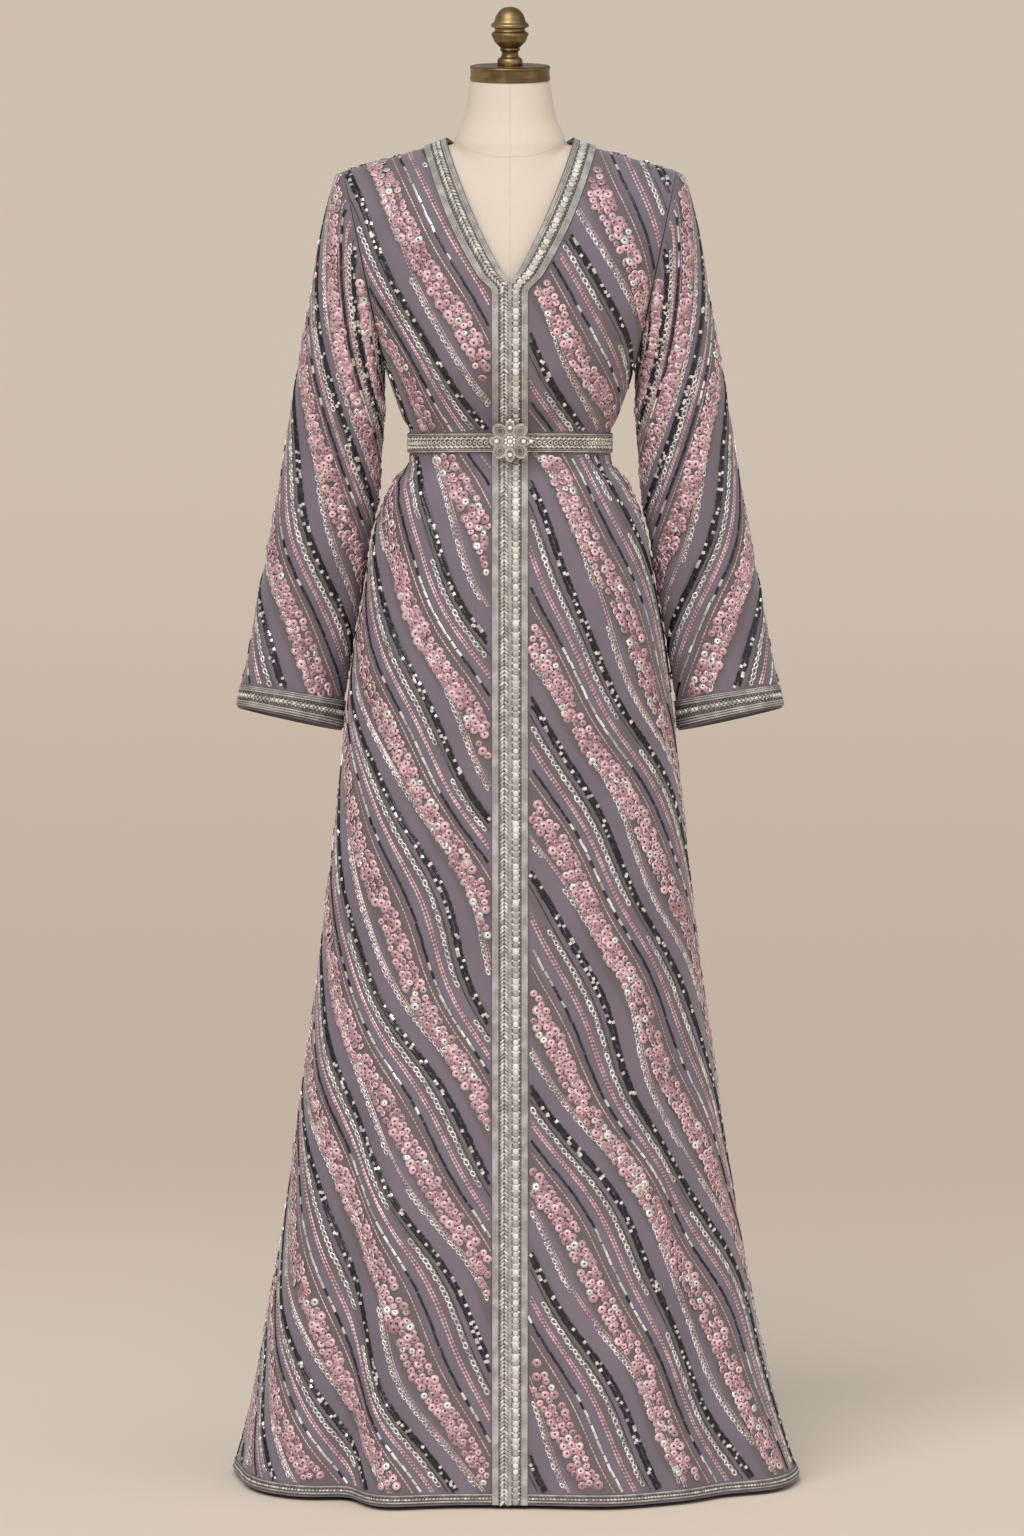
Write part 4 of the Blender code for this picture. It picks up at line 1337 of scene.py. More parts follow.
@dataclass(frozen=True)
class FloorFinish:
    """Matt pale paper with painted light: lightest in front of the stand, painted shade darkest some 2.7 m
    behind it and a little lighter further back.
    """

    near: Colour = (0.76, 0.67, 0.575, 1.0)
    dark: Colour = (0.585, 0.49, 0.405, 1.0)
    far: Colour = (0.675, 0.585, 0.49, 1.0)

    def material(self, name: str) -> Material:
        """The material, on object coordinates.

        Args:
            name: Its name.

        Returns:
            The material.
        """
        recipe = Recipe(name)
        _, back, _ = recipe.parts(recipe.place())
        # Painted light on the floor: a pool of light in front of and under the stand, painted shade darkest
        # about 2.7 m behind it, then a little lighter far back.
        behind = recipe.mix(back.ramp(0.1, 2.7), self.near, self.dark)
        return recipe.finish(
            Base_Color=recipe.mix(back.ramp(2.2, 13.0), behind, self.far),
            Roughness=0.9,
            Specular_IOR_Level=0.2,
        )


class Finishes:
    """Every material of the piece, made once."""

    def __init__(self) -> None:
        """Makes the materials."""
        silver_dark, silver_light = (0.36, 0.345, 0.33, 1.0), (0.94, 0.92, 0.89, 1.0)
        self.cloth = ClothFinish().material("mauve_cloth")
        self.pink = BeadFinish(
            (0.4, 0.19, 0.24, 1.0),
            (0.86, 0.55, 0.62, 1.0),
            0.18,
            0.12,
            0.6,
            # Painted rim highlight and painted shade round the hole of each disc.
            (0.97, 0.78, 0.81, 1.0),
            (0.16, 0.07, 0.09, 1.0),
        ).material("pink_paillette")
        self.jet = BeadFinish(
            (0.005, 0.006, 0.01, 1.0), (0.03, 0.032, 0.044, 1.0), 0.2, 0.0, 0.15, specular=0.35
        ).material("jet_bead")
        self.silver = BeadFinish(silver_dark, silver_light, 0.2, 0.45, 0.4).material("silver_bead")
        self.copper_thread = CordFinish(
            (0.24, 0.13, 0.14, 1.0), (0.86, 0.58, 0.6, 1.0), 0.0046, 0.32, 0.3
        ).material("copper_thread")
        self.jet_thread = CordFinish(
            (0.008, 0.008, 0.012, 1.0), (0.16, 0.155, 0.16, 1.0), 0.003, 0.35, 0.2
        ).material("jet_thread")
        self.silver_thread = CordFinish(
            (0.28, 0.25, 0.24, 1.0), (0.82, 0.78, 0.73, 1.0), 0.0042, 0.32, 0.4
        ).material("silver_thread")
        # Painted shade: the braids' woven ground is coloured dark to stand for the shade in the gaps between
        # their cords.
        self.braid_gap_shade = WovenFinish(
            (0.15, 0.14, 0.135, 1.0), (0.075, 0.07, 0.068, 1.0), 0.6, 520.0, 0.0003, 0.1
        ).material("braid_gap_shade")
        self.braid_cord = CordFinish(
            (0.22, 0.21, 0.2, 1.0), (0.7, 0.68, 0.65, 1.0), 0.0024, 0.42, 0.2, 0.5, 0.0004
        ).material("braid_cord")
        self.braid_dots = CordFinish(
            (0.02, 0.019, 0.02, 1.0), (0.3, 0.29, 0.28, 1.0), 0.004, 0.5, 0.2, 0.0, 0.0004
        ).material("braid_dots")
        self.braid_knot = BeadFinish(
            (0.34, 0.325, 0.305, 1.0), (0.8, 0.78, 0.74, 1.0), 0.32, 0.1, 0.1
        ).material("braid_knot")
        # Painted shade: this dark ground under the belt's and the rosette's filigree stands in for the shade
        # in the gaps of the metalwork; its tarnish patches are the metal's own.
        self.belt_gap_shade = MetalFinish(
            (0.22, 0.198, 0.175, 1.0), (0.1, 0.09, 0.08, 1.0), 0.55, 0.2
        ).material("belt_gap_shade")
        self.filigree = MetalFinish(
            (0.9, 0.86, 0.8, 1.0), (0.66, 0.62, 0.56, 1.0), 0.32, 0.25
        ).material("filigree")
        self.belt_cord = CordFinish(
            (0.36, 0.335, 0.3, 1.0), (0.8, 0.76, 0.7, 1.0), 0.0022, 0.36, 0.3, 0.5, 0.0003
        ).material("belt_cord")
        self.pearl = BeadFinish(
            (0.74, 0.7, 0.65, 1.0), (0.95, 0.93, 0.9, 1.0), 0.18, 0.1, 0.5
        ).material("white_bead")
        self.linen = WovenFinish(
            (0.715, 0.635, 0.535, 1.0), (0.65, 0.565, 0.465, 1.0), 0.84, 640.0, 0.0002, 0.0, 0.12
        ).material("linen")
        self.seam = WovenFinish(
            (0.64, 0.53, 0.42, 1.0), (0.56, 0.45, 0.35, 1.0), 0.85, 640.0, 0.0001
        ).material("form_seam")
        self.brass = MetalFinish(
            (0.36, 0.255, 0.125, 1.0), (0.17, 0.118, 0.06, 1.0), 0.28
        ).material("antique_brass")
        self.steel = MetalFinish(
            (0.055, 0.055, 0.06, 1.0), (0.035, 0.035, 0.04, 1.0), 0.42, 0.6
        ).material("dark_steel")


def settle(thing: Piece, slot: Slot, *nodes: str) -> Piece:
    """Makes a piece ride on the body.

    Args:
        thing: The piece.
        slot: Not used.
        nodes: The CAD nodes that it stands for.

    Returns:
        The piece.
    """
    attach(thing, ROOT)
    if nodes:
        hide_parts(*nodes)
    return thing


def object_from(name: str, builder: BMesh, finish: Material,
                sharp: float | None = 40.0) -> Piece:
    """Turns a bmesh into an object with a material.

    Args:
        name: The object's name.
        builder: The bmesh, which is used up.
        finish: Its material.
        sharp: Degrees above which an edge stays sharp, or None for flat faces.

    Returns:
        The object.
    """
    mesh = bpy.data.meshes.new(name)
    builder.to_mesh(mesh)
    builder.free()
    if sharp is not None:
        mesh.shade_smooth()
        mesh.set_sharp_from_angle(angle=math.radians(sharp))
    mesh.materials.append(finish)
    thing = bpy.data.objects.new(name, mesh)
    bpy.context.scene.collection.objects.link(thing)
    return thing


def gridded(points: Array, closed: bool, pattern: Array | None = None) -> BMesh:
    """A grid of faces laid over a grid of points.

    Args:
        points: The points, by row and column.
        closed: Whether lines that meet are joined.
        pattern: UV coordinates of the points, for the map named Pattern.

    Returns:
        The bmesh.
    """
    rows, columns = points.shape[:2]
    builder = bmesh.new()
    bmesh.ops.create_grid(builder, x_segments=columns - 1, y_segments=rows - 1, size=1.0)
    mesh = bpy.data.meshes.new("grid")
    builder.to_mesh(mesh)
    mesh.vertices.foreach_set("co", points.reshape(-1).astype(np.float32))
    if pattern is not None:
        corners = np.empty(len(mesh.loops), dtype=np.int32)
        mesh.loops.foreach_get("vertex_index", corners)
        layer = mesh.uv_layers.new(name="Pattern")
        layer.data.foreach_set("uv", pattern.reshape(-1, 2)[corners].reshape(-1))
    builder.clear()
    builder.from_mesh(mesh)
    bpy.data.meshes.remove(mesh)
    if closed:
        bmesh.ops.remove_doubles(builder, verts=builder.verts, dist=1e-6)
    return builder


@dataclass
class Sheet:
    """A thin sheet laid over a grid of points."""

    points: Array
    normals: Array
    thickness: float
    closed: bool = False
    pattern: Array | None = None

    def build(self, name: str, finish: Material) -> Piece:
        """Makes the sheet, with its outer side on the points.

        Args:
            name: The object's name.
            finish: Its material.

        Returns:
            The object.
        """
        rows, columns = self.points.shape[:2]
        builder = gridded(self.points, self.closed, self.pattern)
        builder.normal_update()
        builder.faces.ensure_lookup_table()
        face = builder.faces[(rows // 2) * (columns - 1) + columns // 2]
        wanted = Vector(self.normals[rows // 2, columns // 2])
        if face.normal.dot(wanted) < 0.0:
            bmesh.ops.reverse_faces(builder, faces=builder.faces)
        bmesh.ops.solidify(builder, geom=builder.faces, thickness=self.thickness)
        return object_from(name, builder, finish, 60.0)


class Template:
    """A small mesh that is copied many times: its axes are aside, along and up."""

    def __init__(self, builder: BMesh, smooth: bool) -> None:
        """Reads the mesh.

        Args:
            builder: The bmesh, which is used up.
            smooth: Whether its faces are shaded smooth.
        """
        bmesh.ops.remove_doubles(builder, verts=builder.verts, dist=1e-5)
        bmesh.ops.recalc_face_normals(builder, faces=builder.faces)
        builder.verts.index_update()
        self.points = np.array([vert.co[:] for vert in builder.verts])
        self.corners = np.array([vert.index for face in builder.faces for vert in face.verts])
        self.sizes = np.array([len(face.verts) for face in builder.faces])
        self.smooth = smooth
        builder.free()


def spun(profile: Sequence[tuple[float, float]], steps: int, closed: bool = False) -> BMesh:
    """A profile of (radius, height) pairs turned about the upright axis.

    Args:
        profile: The pairs.
        steps: Steps of a full turn.
        closed: Whether the last pair joins the first.

    Returns:
        The bmesh.
    """
    builder = bmesh.new()
    verts = [builder.verts.new((radius, 0.0, height)) for radius, height in profile]
    pairs = list(zip(verts, verts[1:])) + ([(verts[-1], verts[0])] if closed else [])
    edges = [builder.edges.new(pair) for pair in pairs]
    about = {"cent": (0.0, 0.0, 0.0), "axis": (0.0, 0.0, 1.0), "angle": FULL_TURN}
    bmesh.ops.spin(builder, geom=verts + edges, steps=steps, use_merge=True, **about)
    bmesh.ops.remove_doubles(builder, verts=builder.verts, dist=1e-7)
    bmesh.ops.recalc_face_normals(builder, faces=builder.faces)
    return builder


class Templates:
    """The small meshes of the beadwork and of the metalwork, made once."""

    def __init__(self) -> None:
        """Makes the templates."""
        self.paillette = Template(spun(((0.88, 0.0), (1.0, 0.75), (0.27, 0.3)), 8), True)
        self.loop = Template(spun(((1.0, 0.0), (0.76, 1.0), (0.5, 0.0)), 7), True)
        self.bugle = Template(self.prism(6), False)
        self.cut_bead = Template(self.prism(4), False)
        self.square = Template(self.block(), False)
        self.grain = Template(self.ball(1), True)
        self.knot = Template(self.ball(2), True)

    def cone(self, sides: int, bottom: float, depth: float) -> BMesh:
        """A closed cone or prism about the upright axis, its top one unit wide.

        Args:
            sides: Its sides.
            bottom: Radius of its lower end.
            depth: Its height.

        Returns:
            The bmesh.
        """
        builder = bmesh.new()
        sizes = {"radius1": bottom, "radius2": 1.0, "depth": depth}
        bmesh.ops.create_cone(builder, cap_ends=True, segments=sides, **sizes)
        return builder

    def turned(self, builder: BMesh, angle: float, axis: str) -> None:
        """Turns a mesh about one axis."""
        bmesh.ops.rotate(builder, matrix=Matrix.Rotation(angle, 3, axis), verts=builder.verts)

    def stood(self, builder: BMesh, height: float) -> BMesh:
        """A mesh flattened to a height and lifted by half a unit, so that it stands on its row.

        Args:
            builder: The mesh.
            height: What its height is multiplied by.

        Returns:
            The bmesh.
        """
        bmesh.ops.scale(builder, vec=(1.0, 1.0, height), verts=builder.verts)
        bmesh.ops.translate(builder, vec=(0.0, 0.0, 0.5), verts=builder.verts)
        return builder

    def prism(self, sides: int) -> BMesh:
        """A prism that lies along its row.

        Args:
            sides: Its sides.

        Returns:
            The bmesh.
        """
        builder = self.cone(sides, 1.0, 2.0)
        self.turned(builder, QUARTER_TURN, "X")
        return self.stood(builder, 0.5)

    def block(self) -> BMesh:
        """A low square spangle with a smaller top.

        Returns:
            The bmesh.
        """
        builder = self.cone(4, 1.4, 1.0)
        self.turned(builder, 0.25 * math.pi, "Z")
        return self.stood(builder, 1.0)

    def ball(self, level: int) -> BMesh:
        """A ball that stands on its row.

        Args:
            level: How often its faces are divided.

        Returns:
            The bmesh.
        """
        builder = bmesh.new()
        bmesh.ops.create_icosphere(builder, subdivisions=level, radius=1.0)
        return self.stood(builder, 0.5)


class Scatter:
    """Copies of templates, joined into one mesh with a tone for each copy."""

    def __init__(self) -> None:
        """Starts empty."""
        self.points: list[Array] = []
        self.locals: list[Array] = []
        self.tones: list[Array] = []
        self.corners: list[Array] = []
        self.sizes: list[Array] = []
        self.smooth: list[Array] = []
        self.count = 0

    def add(self, template: Template, centre: Array, axes: Sequence[Array], size: Array, tone: Array) -> None:
        """Adds copies of a template.

        Args:
            template: The small mesh.
            centre: Where each copy stands.
            axes: Its aside, along and up axes.
            size: Its sizes along the axes.
            tone: Its shade, from 0 to 1.
        """
        number = len(centre)
        if number == 0:
            return
        scaled = template.points[None, :, :] * size[:, None, :]
        moved = sum(scaled[..., k : k + 1] * axes[k][:, None, :] for k in range(3))
        moved = moved + centre[:, None, :]
        each = len(template.points)
        starts = self.count + each * np.arange(number)
        self.points.append(moved.reshape(-1, 3))
        self.locals.append(np.tile(template.points, (number, 1)))
        self.tones.append(np.repeat(tone, each))
        self.corners.append((starts[:, None] + template.corners[None, :]).reshape(-1))
        self.sizes.append(np.tile(template.sizes, number))
        self.smooth.append(np.full(number * len(template.sizes), template.smooth))
        self.count += each * number

    def build(self, name: str, finish: Material) -> Piece:
        """Joins the copies.

        Args:
            name: The object's name.
            finish: Its material.

        Returns:
            The object.
        """
        corners, sizes = np.concatenate(self.corners), np.concatenate(self.sizes)
        mesh = bpy.data.meshes.new(name)
        mesh.vertices.add(self.count)
        mesh.vertices.foreach_set("co", np.concatenate(self.points).reshape(-1))
        mesh.loops.add(len(corners))
        mesh.loops.foreach_set("vertex_index", corners.astype(np.int32))
        mesh.polygons.add(len(sizes))
        starts = np.concatenate([[0], np.cumsum(sizes)[:-1]])
        mesh.polygons.foreach_set("loop_start", starts.astype(np.int32))
        mesh.update(calc_edges=True)
        mesh.polygons.foreach_set("use_smooth", np.concatenate(self.smooth))
        tone = mesh.attributes.new("tone", "FLOAT", "POINT")
        tone.data.foreach_set("value", np.concatenate(self.tones).astype(np.float32))
        local = mesh.attributes.new("local", "FLOAT_VECTOR", "POINT")
        local.data.foreach_set("vector", np.concatenate(self.locals).reshape(-1))
        mesh.validate()
        mesh.materials.append(finish)
        thing = bpy.data.objects.new(name, mesh)
        bpy.context.scene.collection.objects.link(thing)
        return thing


def round_profile(sides: int, half_width: float, height: float) -> Array:
    """Corners of a cord's section, standing on the cloth, as pairs of aside and up."""
    turn = FULL_TURN * (np.arange(sides) + 0.5) / sides - QUARTER_TURN
    return np.stack([half_width * np.cos(turn), 0.5 * height * (1.0 + np.sin(turn))], axis=-1)


class Cords:
    """Cords swept along runs, joined into one mesh."""

    def __init__(self) -> None:
        """Starts empty."""
        self.builder = bmesh.new()
        self.run_layer = self.builder.verts.layers.float.new("run")
        self.side_layer = self.builder.verts.layers.float.new("side")

    def add(self, run: Run, step: float, profile: Array, aside: float = 0.0, lift: float = 0.0,
            wander: Array | None = None, closed: bool = False) -> None:
        """Sweeps one cord.

        Args:
            run: The line that it follows.
            step: Distance between its sections.
            profile: Corners of its section.
            aside: How far it lies beside the line.
            lift: How far above the line.
            wander: Extra aside at each of 8 even places, for a hand-sewn line.
            closed: Whether its end meets its start.
        """
        sections = max(int(round(run.length / step)), 2)
        distance = np.linspace(0.0, run.length, sections + 1)
        offset = np.full(len(distance), aside)
        if wander is not None:
            offset = offset + np.interp(distance, np.linspace(0.0, run.length, len(wander)), wander)
        moved, (side, _, up) = run.at(distance, offset, lift)
        sides = len(profile)
        ring = np.concatenate([profile, profile[:1]])
        spots = moved[:, None, :] + side[:, None, :] * ring[None, :, :1] + up[:, None, :] * ring[None, :, 1:]
        if closed:
            spots[-1] = spots[0]
        made = bmesh.ops.create_grid(self.builder, x_segments=sides, y_segments=sections, size=1.0)
        verts = made["verts"]
        half = np.abs(profile[:, 0]).max()
        for index, (vert, spot) in enumerate(zip(verts, spots.reshape(-1, 3))):
            vert.co = spot
            vert[self.run_layer] = distance[index // (sides + 1)]
            vert[self.side_layer] = ring[index % (sides + 1), 0] / half
        seam = verts[:: sides + 1] + verts[sides :: sides + 1]
        ends = verts[: sides + 1] + verts[-sides - 1 :] if closed else []
        bmesh.ops.remove_doubles(self.builder, verts=list(set(seam + ends)), dist=1e-7)

    def build(self, name: str, finish: Material) -> Piece:
        """Closes the cords' ends and joins them.

        Args:
            name: The object's name.
            finish: Their material.

        Returns:
            The object.
        """
        rims = [edge for edge in self.builder.edges if edge.is_boundary]
        bmesh.ops.holes_fill(self.builder, edges=rims, sides=0)
        bmesh.ops.recalc_face_normals(self.builder, faces=self.builder.faces)
        return object_from(name, self.builder, finish, 75.0)


class Beadwork:
    """The bands of paillettes, bugles, chains and threads on one panel."""

    margin = 0.0004

    def __init__(self, panel: Panel, pattern: StripePattern, templates: Templates, seed: int) -> None:
        """Keeps what it is sewn on and with.

        Args:
            panel: The cloth.
            pattern: The bands.
            templates: The small meshes.
            seed: Start of its random draws.
        """
        self.panel = panel
        self.pattern = pattern
        self.templates = templates
        self.random = np.random.default_rng(seed)
        self.beads = {slot: Scatter() for slot in (Slot.PINK, Slot.JET, Slot.SILVER)}
        self.cords = {slot: Cords() for slot in (Slot.COPPER, Slot.JET, Slot.SILVER)}

    def jitter(self, count: int, amount: float) -> Array:
        """Random numbers either side of zero."""
        return self.random.uniform(-amount, amount, count)

    def tilted(self, axes: Sequence[Array], amount: float) -> list[Array]:
        """Axes that lean at random.

        Args:
            axes: Aside, along and up.
            amount: The most that up leans, in radians.

        Returns:
            The leaning axes.
        """
        side, along, up = axes
        count = len(side)
        lean_side = self.jitter(count, amount)[:, None]
        lean_along = self.jitter(count, amount)[:, None]
        risen = unit(up + side * lean_side + along * lean_along)
        flat = unit(np.cross(along, risen))
        return [flat, np.cross(risen, flat), risen]

    def turned(self, axes: Sequence[Array], amount: float) -> list[Array]:
        """Axes turned at random about up."""
        return about_up(axes, self.jitter(len(axes[0]), amount))

    def sizes(self, lane: Lane, count: int, spread: float) -> Array:
        """Half width, half length and height of copies."""
        even = 1.0 + self.jitter(count, spread)
        return np.stack([lane.width * even, lane.length * even, np.full(count, lane.height)], -1)

    def sew(self) -> None:
        """Fills every lane of the repeat."""
        for lane in LANES:
            room = self.margin + (0.55 if lane.mark is Mark.PAILLETTE else 1.0) * lane.width
            for run in self.pattern.runs(self.panel, lane, room):
                self.sew_run(lane, run)

    def sew_run(self, lane: Lane, run: Run) -> None:
        """Sews one stretch of a lane.

        Args:
            lane: The lane.
            run: The stretch.
        """
        if lane.mark is Mark.CORD:
            wander = self.jitter(max(int(run.length / 0.03), 2), lane.wander)
            profile = round_profile(3, lane.width, lane.height)
            self.cords[lane.slot].add(run, lane.pitch, profile, lift=-0.0001, wander=wander)
            return
        distance = run.stations(lane.pitch, 0.5 * lane.pitch + lane.start)
        distance = distance + self.jitter(len(distance), 0.12 * lane.pitch)
        distance = np.clip(distance, 0.0, run.length)
        if len(distance) == 0:
            return
        aside = self.jitter(len(distance), lane.wander)
        {
            Mark.PAILLETTE: self.sew_paillettes,
            Mark.BUGLE: self.sew_bugles,
            Mark.LOOP: self.sew_loops,
            Mark.CUT_BEAD: self.sew_cut_beads,
        }[lane.mark](lane, run, distance, aside)

    def sew_paillettes(self, lane: Lane, run: Run, distance: Array, aside: Array) -> None:
        """Cupped discs that overlap and lean.

        Args:
            lane: The lane.
            run: The stretch.
            distance: Where each disc is.
            aside: How far it is off the line.
        """
        kept = self.random.random(len(distance)) > 0.05
        distance, aside = distance[kept], aside[kept]
        count = len(distance)
        lift = self.random.uniform(0.0001, 0.0008, count)
        centre, axes = run.at(distance, aside, lift)
        axes = self.tilted(axes, 0.27)
        size = self.sizes(lane, count, 0.22)
        size[:, 2] = self.random.uniform(0.0009, 0.0015, count)
        tone = self.random.random(count)
        white = self.random.random(count) < 0.07
        pale = self.random.random(count) < 0.16
        tone = np.where(pale, 1.0, 0.85 * tone)
        self.put(Slot.PINK, self.templates.paillette, centre, axes, size, tone, ~white)
        tone = self.random.uniform(0.7, 1.0, count)
        self.put(Slot.SILVER, self.templates.paillette, centre, axes, size, tone, white)

    def put(self, slot: Slot, template: Template, centre: Array, axes: Sequence[Array],
            size: Array, tone: Array, chosen: Array) -> None:
        """Adds the chosen copies to a slot's beads."""
        picked = [axis[chosen] for axis in axes]
        self.beads[slot].add(template, centre[chosen], picked, size[chosen], tone[chosen])

    def sew_bugles(self, lane: Lane, run: Run, distance: Array, aside: Array) -> None:
        """A single line of long beads, black and silver in turn.

        Args:
            lane: The lane.
            run: The stretch.
            distance: Where each bead is.
            aside: How far it is off the line.
        """
        count = len(distance)
        centre, axes = run.at(distance, aside, 0.0)
        axes = self.turned(axes, 0.08)
        size = self.sizes(lane, count, 0.08)
        place = distance / 0.047 + self.random.uniform(0.0, 6.0)
        bright = np.sin(place) + self.jitter(count, 0.9) > 0.15
        tone = self.random.random(count)
        self.put(Slot.JET, self.templates.bugle, centre, axes, size, tone, ~bright)
        self.put(Slot.SILVER, self.templates.bugle, centre, axes, size, tone, bright)

    def sew_loops(self, lane: Lane, run: Run, distance: Array, aside: Array) -> None:
        """A chain of oval loops, some of them lost to the thread.

        Args:
            lane: The lane.
            run: The stretch.
            distance: Where each loop is.
            aside: How far it is off the line.
        """
        count = len(distance)
        lost = np.sin(distance / 0.06 + self.random.uniform(0.0, 6.0)) > 0.93
        centre, axes = run.at(distance, aside, 0.0)
        axes = self.turned(axes, 0.3)
        size = self.sizes(lane, count, 0.15)
        tone = self.random.beta(1.5, 1.3, count)
        self.put(Slot.SILVER, self.templates.loop, centre, axes, size, tone, ~lost)

    def sew_cut_beads(self, lane: Lane, run: Run, distance: Array, aside: Array) -> None:
        """A close row of short black beads, some of them silver as painted glints, with a white spangle here
        and there.

        Args:
            lane: The lane.
            run: The stretch.
            distance: Where each bead is.
            aside: How far it is off the line.
        """
        count = len(distance)
        centre, axes = run.at(distance, aside, 0.0)
        axes = self.turned(axes, 0.25)
        size = self.sizes(lane, count, 0.15)
        shade = self.random.random(count)
        tone = np.where(self.random.random(count) < 0.14, 1.0, 0.5 * shade)
        # Painted glints: some beads of the row are silver instead of jet, standing for light caught on the
        # faceted black beads.
        painted_glint = self.random.random(count) < 0.14
        self.put(Slot.JET, self.templates.cut_bead, centre, axes, size, tone, ~painted_glint)
        self.put(Slot.SILVER, self.templates.cut_bead, centre, axes, size, shade, painted_glint)
        if lane.start > 0.0:
            return
        spots = run.stations(0.047, self.random.uniform(0.004, 0.03))
        if len(spots) == 0:
            return
        spots = np.clip(spots + self.jitter(len(spots), 0.012), 0.0, run.length)
        centre, axes = run.at(spots, self.random.uniform(0.0, 0.003, len(spots)), 0.0008)
        axes = self.turned(axes, 0.5)
        size = np.tile(np.array([[0.0021, 0.0021, 0.0016]]), (len(spots), 1))
        tone = self.random.uniform(0.6, 1.0, len(spots))
        chosen = np.ones(len(spots), dtype=bool)
        self.put(Slot.SILVER, self.templates.square, centre, axes, size, tone, chosen)

    def build(self, finishes: Finishes) -> list[Piece]:
        """Makes the panel's beadwork pieces.

        Args:
            finishes: The materials.

        Returns:
            The pieces.
        """
        self.sew()
        name = self.panel.name
        bead_finish = {
            Slot.PINK: ("paillettes", finishes.pink),
            Slot.JET: ("jet_beads", finishes.jet),
            Slot.SILVER: ("silver_beads", finishes.silver),
        }
        cord_finish = {
            Slot.COPPER: ("copper_thread", finishes.copper_thread),
            Slot.JET: ("jet_thread", finishes.jet_thread),
            Slot.SILVER: ("silver_thread", finishes.silver_thread),
        }
        made = []
        for slot, scatter in self.beads.items():
            word, finish = bead_finish[slot]
            made.append(settle(scatter.build(f"{name}_{word}", finish), slot))
        for slot, cords in self.cords.items():
            word, finish = cord_finish[slot]
            made.append(settle(cords.build(f"{name}_{word}", finish), slot))
        return made


@dataclass
class ClothWork:
    """The five panels of thin cloth, laid on the shapes of the solids."""

    front_grid: tuple[int, int] = (136, 54)
    back_grid: tuple[int, int] = (136, 98)
    sleeve_grid: tuple[int, int] = (82, 61)

    def build(self, panel: Panel, pattern: StripePattern, finish: Material) -> Piece:
        """Makes one panel's cloth.

        Args:
            panel: The panel.
            pattern: The bands, for its UV map.
            finish: The cloth's material.

        Returns:
            The cloth.
        """
        kinds = {"front": self.front_grid, "back": self.back_grid, "sleev": self.sleeve_grid}
        rows, columns = kinds[panel.name[:5].rstrip("_")]
        up = np.linspace(0.0, panel.points.shape[0] - 1.0, rows)[:, None]
        across = np.linspace(0.0, panel.points.shape[1] - 1.0, columns)[None, :]
        points = panel.sample(panel.points, up, across)
        normals = unit(panel.sample(panel.normals, up, across))
        crosswise = panel.sample(panel.crosswise, up, across)
        lengthwise = panel.sample(panel.lengthwise, up, across)
        value = pattern.value(crosswise, lengthwise) / pattern.period
        flat = np.stack([value, lengthwise], axis=-1)
        closed = panel.name.startswith("sleeve")
        sheet = Sheet(points, normals, CLOTH_SHEET, closed, flat)
        return settle(sheet.build(f"{panel.name}_cloth", finish), Slot.CLOTH, panel.name)


class BraidMark(Enum):
    """What one line of a braid is."""

    CORD = "cord"
    DOTS = "dots"
    LEAVES = "leaves"
    KNOTS = "knots"


@dataclass(frozen=True)
class BraidLine:
    """One line of a braid: its share of the width, its kind and its size."""

    share: float
    mark: BraidMark
    width: float
    height: float
    pitch: float = 0.0


# The cords nearest the edge lie side by side in the closing and spread out round the neck.
NECK_CORD_SHARE = 0.05
CLOSING_LINES = (
    BraidLine(0.01, BraidMark.CORD, 0.0009, 0.0014),
    BraidLine(0.024, BraidMark.CORD, 0.0009, 0.0014),
    BraidLine(0.04, BraidMark.CORD, 0.0009, 0.0014),
    BraidLine(0.32, BraidMark.KNOTS, 0.0052, 0.0019, 0.0068),
    BraidLine(0.605, BraidMark.DOTS, 0.0008, 0.0012),
    BraidLine(0.7, BraidMark.CORD, 0.001, 0.0015),
    BraidLine(0.79, BraidMark.CORD, 0.0009, 0.0014),
    BraidLine(0.875, BraidMark.CORD, 0.0009, 0.0014),
    BraidLine(0.96, BraidMark.CORD, 0.0009, 0.0014),
)
LEAF_LINES = tuple(
    BraidLine(line.share, BraidMark.LEAVES, line.width, line.height, 0.0044)
    if line.mark is BraidMark.KNOTS
    else line
    for line in CLOSING_LINES
)
NARROW_LINES = (
    BraidLine(0.1, BraidMark.CORD, 0.0008, 0.0014),
    BraidLine(0.45, BraidMark.KNOTS, 0.002, 0.0015, 0.004),
    BraidLine(0.73, BraidMark.DOTS, 0.0007, 0.0012),
    BraidLine(0.9, BraidMark.CORD, 0.0009, 0.0014),
)
CUFF_LINES = (
    BraidLine(0.04, BraidMark.CORD, 0.0008, 0.0015),
    BraidLine(0.115, BraidMark.CORD, 0.0009, 0.0015),
    BraidLine(0.205, BraidMark.CORD, 0.001, 0.0015),
    BraidLine(0.3, BraidMark.DOTS, 0.0009, 0.0013),
    BraidLine(0.48, BraidMark.KNOTS, 0.0034, 0.0016, 0.005),
    BraidLine(0.665, BraidMark.DOTS, 0.0009, 0.0013),
    BraidLine(0.755, BraidMark.CORD, 0.001, 0.0015),
    BraidLine(0.855, BraidMark.CORD, 0.001, 0.0015),
    BraidLine(0.95, BraidMark.CORD, 0.0008, 0.0015),
)


